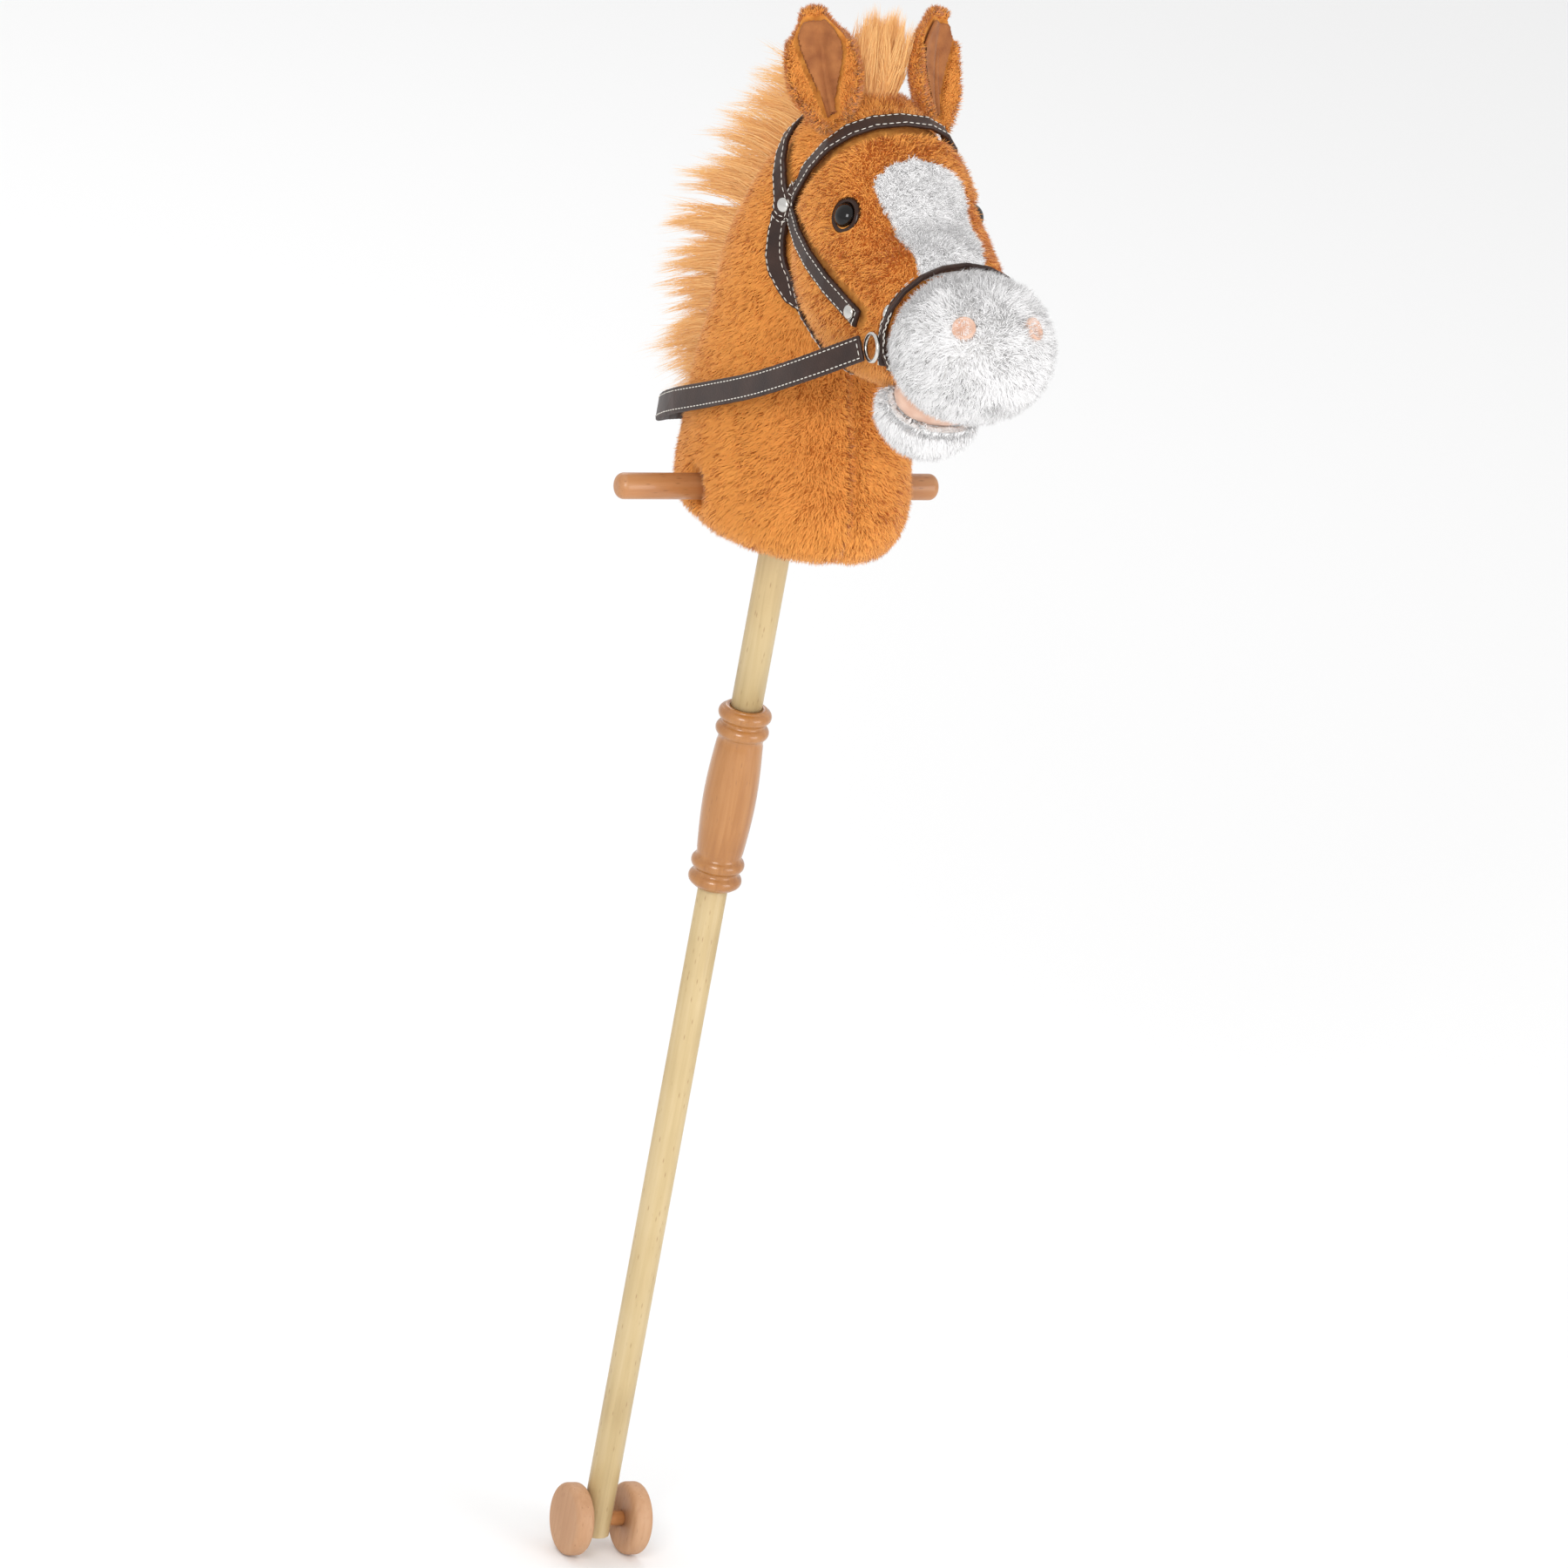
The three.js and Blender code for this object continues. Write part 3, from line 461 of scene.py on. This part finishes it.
def on_blaze(place):
    """Whether the white blaze lies over this place."""
    out = outside_tree.find_nearest(place)[1]
    return blaze_tree.ray_cast(place - out * 2 * MM, out, 14 * MM)[0] is not None


def stuffed_skins():
    skin = piece("plush_skin", part_of(outside, lambda p: hole_share(p) > 0.98 and not on_blaze(p)),
                 ORANGE_BACKING, "plush_orange")
    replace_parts(skin, "plush_side_left", "plush_side_right", "neck_base", "stuffing")
    white = piece("blaze_skin", part_of(outside, on_blaze), WHITE_BACKING, "plush_white")
    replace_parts(white, "blaze")
    piece("handle_hole_facings", part_of(outside, lambda p: hole_share(p) <= 0.98), HOLE_LINING, "plush_orange")


# ---- hair ----
def net_roots(bm, count, rng):
    """Seeded random places spread evenly over the net, each with the way its face looks."""
    faces = list(bm.faces)
    areas = [f.calc_area() for f in faces]
    for face in rng.choices(faces, weights=areas, k=count):
        corners = [loop.vert for loop in face.loops]
        a, b = rng.random(), rng.random()
        if len(corners) == 4:
            low = corners[0].co.lerp(corners[1].co, a)
            high = corners[3].co.lerp(corners[2].co, a)
            spot = low.lerp(high, b)
            normal = corners[0].normal.lerp(corners[2].normal, (a + b) / 2)
        else:
            if a + b > 1:
                a, b = 1 - a, 1 - b
            spot = corners[0].co + (corners[1].co - corners[0].co) * a + (corners[2].co - corners[0].co) * b
            normal = face.normal
        yield spot, normal.normalized()


def hair(name, paths, width, finishes, slot, rng, under=None):
    """Flat tapered hairs along these paths, given in metres; each takes one tint at random.
    A short pile is lit like the net under it, which makes it look soft."""
    data = bpy.data.curves.new(name, "CURVE")
    data.dimensions = "3D"
    data.extrude = width / 2 * MM
    for path in paths:
        spline = data.splines.new("POLY")
        spline.points.add(len(path) - 1)
        last = len(path) - 1
        tilt = rng.random() * math.pi
        for i, spot in enumerate(path):
            spline.points[i].co = (*spot, 1)
            spline.points[i].radius = 1 - (i / last) ** 1.6 if i else 0.8
            spline.points[i].tilt = tilt
        spline.material_index = rng.randrange(len(finishes))
    for one in finishes:
        data.materials.append(one)
    made = bpy.data.objects.new(name, data)
    bpy.context.scene.collection.objects.link(made)
    bm = taken(made)
    bmesh.ops.remove_doubles(bm, verts=bm.verts, dist=0.001 * MM)
    if not under:
        return piece(name, bm, finishes, slot)
    bm.normal_update()
    for face in bm.faces:
        if face.normal.dot(under.find_nearest(face.calc_center_median())[1]) < 0:
            face.normal_flip()
    bm.normal_update()
    soft = [(vert.normal * 0.3 + under.find_nearest(vert.co)[1]).normalized() for vert in bm.verts]
    made = piece(name, bm, finishes, slot)
    made.data.normals_split_custom_set_from_vertices(soft)
    return made


def jitter(rng, size):
    return Vector((rng.uniform(-size, size), rng.uniform(-size, size), rng.uniform(-size, size)))


TRIM = [n for n in ("headpiece", "browband", "cheek_strap_left", "cheek_strap_right", "throatlatch", "noseband")]
trim_tree = BVHTree.FromBMesh(merged_copy(*TRIM))
EYES = {side: middle(f"eye_rim_{label}") for label, side in SIDES}


NOSE_START = -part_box("noseband")[1].y + 2 * MM


def pile_length(spot):
    """Share of the full pile length here: short under the bridle, round the eyes and in the handle holes."""
    near_trim = trim_tree.find_nearest(spot, 14 * MM)[3]
    share = smoothstep(-spot.y, NOSE_START, NOSE_START - 3 * MM)
    if near_trim is not None:
        share = min(share, smoothstep(near_trim, 4.4 * MM, 8 * MM))
    eye = EYES[-1 if spot.x < 0 else 1]
    share = min(share, smoothstep((spot - eye).length, 11 * MM, 14 * MM))
    return min(share, smoothstep(hole_share(spot), 0.95, 1.25))


def coat(name, bm, count, length, comb, finishes, slot, seed, width=0.75, lie=1.0, keep=None, room=None):
    """Short pile over a net. comb(place) is the way the hair lies; lie is how flat it lies."""
    rng = random.Random(seed)
    count = count
    paths = []
    for spot, normal in net_roots(bm, count, rng):
        if keep and not keep(spot):
            continue
        share = room(spot) if room else 1
        if share < 0.12:
            continue
        flow = comb(spot) + noise.noise_vector(spot * per_mm(14)) * 0.6 + noise.noise_vector(spot * per_mm(5)) * 0.45
        flow -= normal * flow.dot(normal)
        reach = length * MM * share * rng.uniform(0.7, 1.15)
        lean = flow * lie * (1.6 - 0.6 * share) + jitter(rng, 0.28)
        first = (normal * 1.0 + lean * 0.55).normalized() * reach * 0.5
        second = (normal * 0.45 + lean).normalized() * reach * 0.55
        paths.append((spot - normal * 0.4 * MM, spot + first, spot + first + second))
    return hair(name, paths, width, finishes, slot, rng, BVHTree.FromBMesh(bm))


def body_comb(spot):
    """The pile lies down the neck, and down and forward on the face."""
    on_face = smoothstep(-spot.y, 0.04, 0.12) * smoothstep(spot.z, 0.80, 0.86)
    return Vector((0, 0.25, -0.95)).lerp(Vector((0, -0.55, -0.5)), on_face)


def plush_coats():
    for label, side in SIDES:
        for zone, low, high, count in (("neck", 0.60, 0.80, 62000), ("face", 0.80, 1.10, 62000)):
            def here(p, side=side, low=low, high=high):
                return p.x * side >= 0 and low <= p.z < high and not on_blaze(p)
            net = part_of(outside, here)
            coat(f"pile_{zone}_{label}", net, count, 6.6, body_comb, AMBER_HAIR, "plush_orange",
                 f"{zone}{label}", lie=0.55, keep=here, room=pile_length)
            net.free()
    net = part_of(outside, on_blaze)
    coat("pile_blaze", net, 30000, 6.6, body_comb, WHITE_HAIR, "plush_white", "blaze", lie=0.55,
         keep=on_blaze, room=pile_length)
    net.free()


# ---- muzzle, mouth and chin ----
def muzzle_and_chin():
    noses = {side: middle(f"nostril_{label}") for label, side in SIDES}
    centre = middle("muzzle")
    mouth = BVHTree.FromBMesh(merged_copy("mouth_lining"))

    def muzzle_room(spot):
        nose = noses[-1 if spot.x < 0 else 1]
        share = smoothstep((spot - nose).length, 5.5 * MM, 8.5 * MM)
        share = min(share, smoothstep(trim_tree.find_nearest(spot)[3], 2 * MM, 6 * MM))
        return min(share, smoothstep(mouth.find_nearest(spot)[3], 1.2 * MM, 5 * MM))

    def muzzle_comb(spot):
        forward = smoothstep(spot.y, -0.205, -0.18)
        return Vector((0, -1.4 * forward, -0.35)) + Vector((spot.x, 0, spot.z - centre.z)).normalized() * 0.15

    net = moved_along_normals(remeshed(merged_copy("muzzle"), 2.2, 6), lambda p, n: -6.2)
    coat("pile_muzzle", net, 60000, 8.0, muzzle_comb, WHITE_HAIR, "plush_white", "muzzle", width=0.6, lie=0.7,
         keep=lambda p: p.y < -0.181 or p.z < 0.838, room=muzzle_room)
    tree = BVHTree.FromBMesh(net)
    nose = piece("muzzle_skin", net, WHITE_BACKING, "plush_white")
    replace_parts(nose, "muzzle")

    net = moved_along_normals(remeshed(merged_copy("chin"), 2.0, 6), lambda p, n: -4.5)
    coat("pile_chin", net, 26000, 7.5, lambda p: Vector((0, 0.1, -1)), WHITE_HAIR, "plush_white", "chin", width=0.6, lie=0.6,
         keep=lambda p: p.y < -0.126 or p.z < 0.8, room=muzzle_room)
    chin = piece("chin_skin", net, WHITE_BACKING, "plush_white")
    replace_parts(chin, "chin")

    lining = piece("mouth_velour", remeshed(merged_copy("mouth_lining"), 1.3, 8), VELOUR, "velour_pink")
    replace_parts(lining, "mouth_lining")

    for label, side in SIDES:
        spot, normal, _, _ = tree.find_nearest(noses[side])
        profile = [(0, -4), (6.8, -4), (7.2, 0.8), (6.9, 2.0), (6.0, 2.4), (4.4, 1.2), (2.4, -0.6), (0, -1.2)]
        bm = turned([(r, z + 3.0) for r, z in profile])
        turn = normal.to_track_quat("Z", "Y").to_matrix()
        bmesh.ops.rotate(bm, verts=bm.verts, matrix=turn)
        bmesh.ops.translate(bm, verts=bm.verts, vec=spot)
        disc = piece(f"nostril_{label}_velour", bm, VELOUR, "velour_pink")
        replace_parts(disc, f"nostril_{label}")


# ---- ears ----
def shorter(bm, root):
    """Drawn in towards the ear's root, to leave room for the pile round its tip."""
    bmesh.ops.scale(bm, verts=bm.verts, vec=(0.95, 0.95, 0.91), space=Matrix.Translation(-root))
    return bm


def ears():
    for label, side in SIDES:
        root = middle(f"ear_{label}")
        root.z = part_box(f"ear_{label}")[0].z
        low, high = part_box(f"ear_lining_{label}")
        base = (low + high) / 2

        def across(place, base=base, side=side):
            """Distance in mm from the lining's middle line, and the share of its height."""
            share = (place.z - low.z) / (high.z - low.z)
            return (place.x - base.x) / MM - side * (share - 0.5) * 7, share

        def fold(place, normal, across=across):
            aside, share = across(place)
            return 0.4 - 2.6 * near(aside, 1.5, 2.2) * (1.1 - share) + 1.2 * near(aside, -3.5, 2.4) * (1 - share)

        inner = moved_along_normals(shorter(remeshed(merged_copy(f"ear_lining_{label}"), 1.0, 4), root), fold)

        def covered(place, across=across):
            aside, share = across(place)
            return share > 0.93 or abs(aside) > 2.5 + 9 * smoothstep(share, 0, 0.7) - 5 * smoothstep(share, 0.75, 1)

        hidden = [f for f in inner.faces if covered(f.calc_center_median())]
        bmesh.ops.delete(inner, geom=hidden, context="FACES")
        lining = BVHTree.FromBMesh(inner)
        cloth = piece(f"ear_{label}_suede", inner, SUEDE, "suede_brown")
        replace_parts(cloth, f"ear_lining_{label}")

        def room(spot, lining=lining):
            return smoothstep(lining.find_nearest(spot)[3], 2.6 * MM, 4.5 * MM)

        net = shorter(remeshed(merged_copy(f"ear_{label}"), 1.6, 12), root)
        net = moved_along_normals(net, lambda p, n: -0.6)
        rise = Vector((side * 0.12, -0.5, 0.85))
        coat(f"pile_ear_{label}", net, 30000, 4.6, lambda p, rise=rise: rise, AMBER_HAIR, "plush_orange",
             f"ear{label}", width=0.6, lie=0.35, room=room)
        ear = piece(f"ear_{label}_skin", net, ORANGE_BACKING, "plush_orange")
        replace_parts(ear, f"ear_{label}")


# ---- mane and forelock ----
def curl(root, middle_spot, tip, steps=6):
    """Points on the arch from the root past the middle spot to the tip."""
    ts = [i / (steps - 1) for i in range(steps)]
    return [root * (1 - t) ** 2 + middle_spot * 2 * t * (1 - t) + tip * t * t for t in ts]


def mane():
    rng = random.Random("mane")
    paths = []
    for _ in range(380):
        s = rng.random()
        across = rng.uniform(-1, 1)
        height = 0.946 - 0.238 * s
        back = 0.016 + 0.085 * smoothstep(s, -0.15, 0.5)
        half = (16 + 12 * math.sin(math.pi * min(1, s * 1.15))) * MM
        root, normal = on_skin((across * half, back, height))
        out = Vector((across * 0.95, 0.62, 0.34 - 0.75 * s)).normalized()
        reach = rng.uniform(42, 64) * MM * (1 - 0.45 * smoothstep(s, 0.82, 1))
        tip = root + out * reach + jitter(rng, 4 * MM)
        bend = root + (normal * 0.5 + out * 0.5 + Vector((0, 0, 0.2))) * reach * 0.5
        for _ in range(60):
            start = on_skin(root + jitter(rng, 6.5 * MM))[0]
            loosen = rng.uniform(0.3, 1) ** 2
            end = tip + jitter(rng, 7 * MM * loosen) - out * 20 * MM * rng.random() ** 2
            paths.append(curl(start, bend + jitter(rng, 6 * MM), end, 5))
    made = hair("mane_hair", paths, 0.75, MANE_HAIR, "hair_golden", rng)
    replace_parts(made, "mane")


def forelock():
    rng = random.Random("forelock")
    low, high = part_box("forelock")
    centre = (low + high) / 2
    paths = []
    for _ in range(70):
        turn = rng.uniform(0, math.tau)
        spread = rng.random() ** 0.6
        side = Vector((math.cos(turn), math.sin(turn), 0)) * spread
        root = on_skin((centre.x + side.x * 10 * MM, centre.y + side.y * 9 * MM, low.z))[0]
        tip = Vector((centre.x + side.x * 15 * MM, centre.y + side.y * 10 * MM, high.z - 8 * MM * spread))
        tip += jitter(rng, 6 * MM)
        bend = (root + tip) / 2 + side * 6 * MM + jitter(rng, 3 * MM)
        for _ in range(60):
            end = tip + jitter(rng, 2.5 * MM) - Vector((0, 0, 30 * MM * rng.random() ** 2))
            paths.append(curl(root + jitter(rng, 4 * MM), bend + jitter(rng, 4 * MM), end, 5))
    made = hair("forelock_hair", paths, 0.75, MANE_HAIR, "hair_golden", rng)
    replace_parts(made, "forelock")


# ---- bridle and rein ----
def outer_patch(bm, away_from):
    """A copy of the strap with only the faces that look away from the body inside it."""
    def outward(face):
        spot, _, _, _ = away_from.find_nearest(face.calc_center_median())
        away = (face.calc_center_median() - spot).normalized()
        return face.normal.dot(away) > 0.75
    copy = bm.copy()
    copy.normal_update()
    bmesh.ops.delete(copy, geom=[f for f in copy.faces if not outward(f)], context="FACES")
    return copy


def edge_lines(bm, inset):
    """The patch's outline drawn in by some mm, as lists of places with the way the face looks."""
    bm.normal_update()
    made = bmesh.ops.inset_region(bm, faces=bm.faces, thickness=inset * MM, use_boundary=True, use_even_offset=True)
    ring = set(made["faces"])
    links = {}
    for edge in bm.edges:
        kinds = [f in ring for f in edge.link_faces]
        if len(kinds) == 2 and kinds[0] != kinds[1]:
            for vert in edge.verts:
                links.setdefault(vert, []).append(edge)
    lines = []
    used = set()
    for start in links:
        if start in used:
            continue
        line = [start]
        used.add(start)
        while True:
            ahead = [e.other_vert(line[-1]) for e in links[line[-1]]]
            ahead = [v for v in ahead if v not in used]
            if not ahead:
                break
            line.append(ahead[0])
            used.add(ahead[0])
        if len(line) > 3:
            lines.append([(v.co.copy(), v.normal.copy()) for v in line] + [(line[0].co.copy(), line[0].normal.copy())])
    return lines


def stitch_rows(name, lines, body, pitch=4.3, length=3.3, thick=0.7):
    """A row of short raised stitches along each line."""
    one = bmesh.new()
    bmesh.ops.create_uvsphere(one, u_segments=5, v_segments=4, radius=0.5 * MM)
    bmesh.ops.rotate(one, verts=one.verts, matrix=Matrix.Rotation(math.pi / 2, 3, "Y"))
    bmesh.ops.scale(one, verts=one.verts, vec=(length, thick, thick * 0.8))
    template = bpy.data.meshes.new("stitch")
    one.to_mesh(template)
    one.free()
    bm = bmesh.new()
    for line in lines:
        travelled = pitch * MM / 2
        for (a, na), (b, nb) in zip(line, line[1:]):
            run = b - a
            if run.length < 1e-7:
                continue
            while travelled < run.length:
                spot = a.lerp(b, travelled / run.length)
                along = run.normalized()
                out = na.lerp(nb, travelled / run.length)
                out = (out - along * out.dot(along)).normalized()
                first = len(bm.verts)
                bm.from_mesh(template)
                bm.verts.ensure_lookup_table()
                frame_of = Matrix((along, out.cross(along), out)).transposed().to_4x4()
                place = Matrix.Translation(spot + out * 0.55 * MM) @ frame_of
                bmesh.ops.transform(bm, matrix=place, verts=bm.verts[first:])
                travelled += pitch * MM
            travelled -= run.length
    return piece(name, bm, THREAD, "strap_brown", body)


def bridle():
    core = BVHTree.FromBMesh(merged_copy("stuffing"))
    for node in TRIM:
        strap = merged_copy(node)
        lines = edge_lines(outer_patch(strap, core), 1.5)
        stitch_rows(f"{node}_stitches", lines, HEAD)
        net = moved_along_normals(remeshed(strap, 0.8, 4), lambda p, n: 0.5)
        made = piece(f"{node}_leather", net, LEATHER, "strap_brown")
        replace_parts(made, node)


def rein():
    strap = merged_copy("rein")
    spine = bmesh.new()
    bmesh.ops.create_grid(spine, x_segments=1, y_segments=1, size=0.05)
    bmesh.ops.rotate(spine, verts=spine.verts, matrix=Matrix.Rotation(math.pi / 2, 3, "Y"))
    bmesh.ops.scale(spine, verts=spine.verts, vec=(0, 2.3, 4))
    bmesh.ops.translate(spine, verts=spine.verts, vec=(0, -0.045, 0.8))
    lines = edge_lines(outer_patch(strap, BVHTree.FromBMesh(spine)), 1.9)
    spine.free()
    stitch_rows("rein_stitches", lines, "rein")
    net = moved_along_normals(remeshed(strap, 0.8, 4), lambda p, n: 0.4)
    made = piece("rein_leather", net, LEATHER, "strap_brown", "rein")
    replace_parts(made, "rein")


def rings_and_rivets():
    for label, side in SIDES:
        low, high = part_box(f"bit_ring_{label}")
        centre = (low + high) / 2
        wire = (high.x - low.x) / 2 / MM
        loop = (high.z - low.z) / 2 / MM - wire
        profile = [(loop + r, z) for r, z in arc((0, 0), (wire, wire), 0, 360, 12)]
        ring = piece(f"bit_ring_{label}_wire", turned(profile, "X", centre), NICKEL, "steel")
        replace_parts(ring, f"bit_ring_{label}")
        for spot in ("brow", "cheek", "nose"):
            node = f"rivet_{spot}_{label}"
            copy = merged_copy(node)
            bmesh.ops.dissolve_limit(copy, angle_limit=0.02, verts=copy.verts, edges=copy.edges)
            base = max(copy.faces, key=lambda f: f.calc_area())
            out = -base.normal.copy()
            foot = base.calc_center_median()
            copy.free()
            profile = [(0, 0), (4.5, 0), (4.5, 0.9)] + arc((0, 0.7), (4.5, 1.9), 8, 90, 10)[1:]
            bm = turned(profile, steps=28)
            bmesh.ops.rotate(bm, verts=bm.verts, matrix=out.to_track_quat("Z", "Y").to_matrix())
            bmesh.ops.translate(bm, verts=bm.verts, vec=foot)
            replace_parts(piece(f"{node}_cap", bm, NICKEL, "steel"), node)


def eyes():
    for label, side in SIDES:
        rim, washer = middle(f"eye_rim_{label}"), middle(f"eye_washer_{label}")
        out = (rim - washer).normalized()
        turn = out.to_track_quat("Z", "Y").to_matrix()
        seat = rim - out * 4.4 * MM
        dome = [(0, -1), (7.7, -1), (7.7, 0.6)] + arc((0, 0.6), (7.7, 6.2), 0, 90, 14)[1:]
        ring = [(7.4, -1), (11.3, -1)] + arc((9.4, 0.2), (2.1, 2.0), -10, 160, 10) + [(7.4, -1)]
        for name, profile, material, slot_name, node in (
            (f"eye_{label}_dome", dome, EYE_BLACK, "eye_black", f"eye_{label}"),
            (f"eye_{label}_ring", ring, EYE_RIM, "eye_rim", f"eye_rim_{label}"),
        ):
            bm = turned(profile, steps=48)
            bmesh.ops.rotate(bm, verts=bm.verts, matrix=turn)
            bmesh.ops.translate(bm, verts=bm.verts, vec=seat)
            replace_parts(piece(name, bm, material, slot_name), node)


wooden_pieces()
stuffed_skins()
plush_coats()
muzzle_and_chin()
ears()
mane()
forelock()
bridle()
rein()
rings_and_rivets()
eyes()

# ---- camera, floor and light ----
right = Vector((0.902, -0.396, 0.170)).normalized()
up = Vector((0.001, 0.397, 0.918))
up = (up - right * up.dot(right)).normalized()
toward = right.cross(up)
camera_data = bpy.data.cameras.new("camera")
camera_data.lens = 600
camera_data.sensor_width = 36
camera_data.clip_end = 200
camera = bpy.data.objects.new("camera", camera_data)
bpy.context.scene.collection.objects.link(camera)
bpy.context.scene.camera = camera
aim = right * 0.1151 + up * 0.4536 + toward * 0.2
camera.matrix_world = Matrix.Translation(aim + toward * 15.63) @ Matrix((right, up, toward)).transposed().to_4x4()


def studio():
    bm = bmesh.new()
    bmesh.ops.create_grid(bm, x_segments=1, y_segments=1, size=40)
    bmesh.ops.translate(bm, verts=bm.verts, vec=(0, 0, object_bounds()[0][2] - 0.0002))
    mesh = bpy.data.meshes.new("floor")
    bm.to_mesh(mesh)
    bm.free()
    floor = bpy.data.objects.new("floor", mesh)
    bpy.context.scene.collection.objects.link(floor)
    mesh.materials.append(finish("pale studio floor", "#F4F4F4", 0.9)[0])
    floor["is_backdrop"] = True
    world = bpy.data.worlds.new("studio")
    bpy.context.scene.world = world
    world.use_nodes = True
    world.node_tree.nodes["Background"].inputs["Color"].default_value = srgb("#FFFFFF")
    world.node_tree.nodes["Background"].inputs["Strength"].default_value = 0.85
    lamps = (
        ("key", (-2.2, -2.8, 2.4), 1.4, 60),
        ("fill", (1.8, -3.0, 1.3), 1.8, 34),
        ("back", (0.4, 2.4, 2.2), 1.4, 14),
    )
    for name, place, width, power in lamps:
        light = bpy.data.lights.new(name, "AREA")
        light.size = width
        light.energy = power
        lamp = bpy.data.objects.new(name, light)
        bpy.context.scene.collection.objects.link(lamp)
        lamp.location = place
        lamp.rotation_euler = (Vector((0, -0.05, 0.75)) - Vector(place)).to_track_quat("-Z", "Y").to_euler()
    bpy.context.scene.view_settings.view_transform = "Standard"


studio()
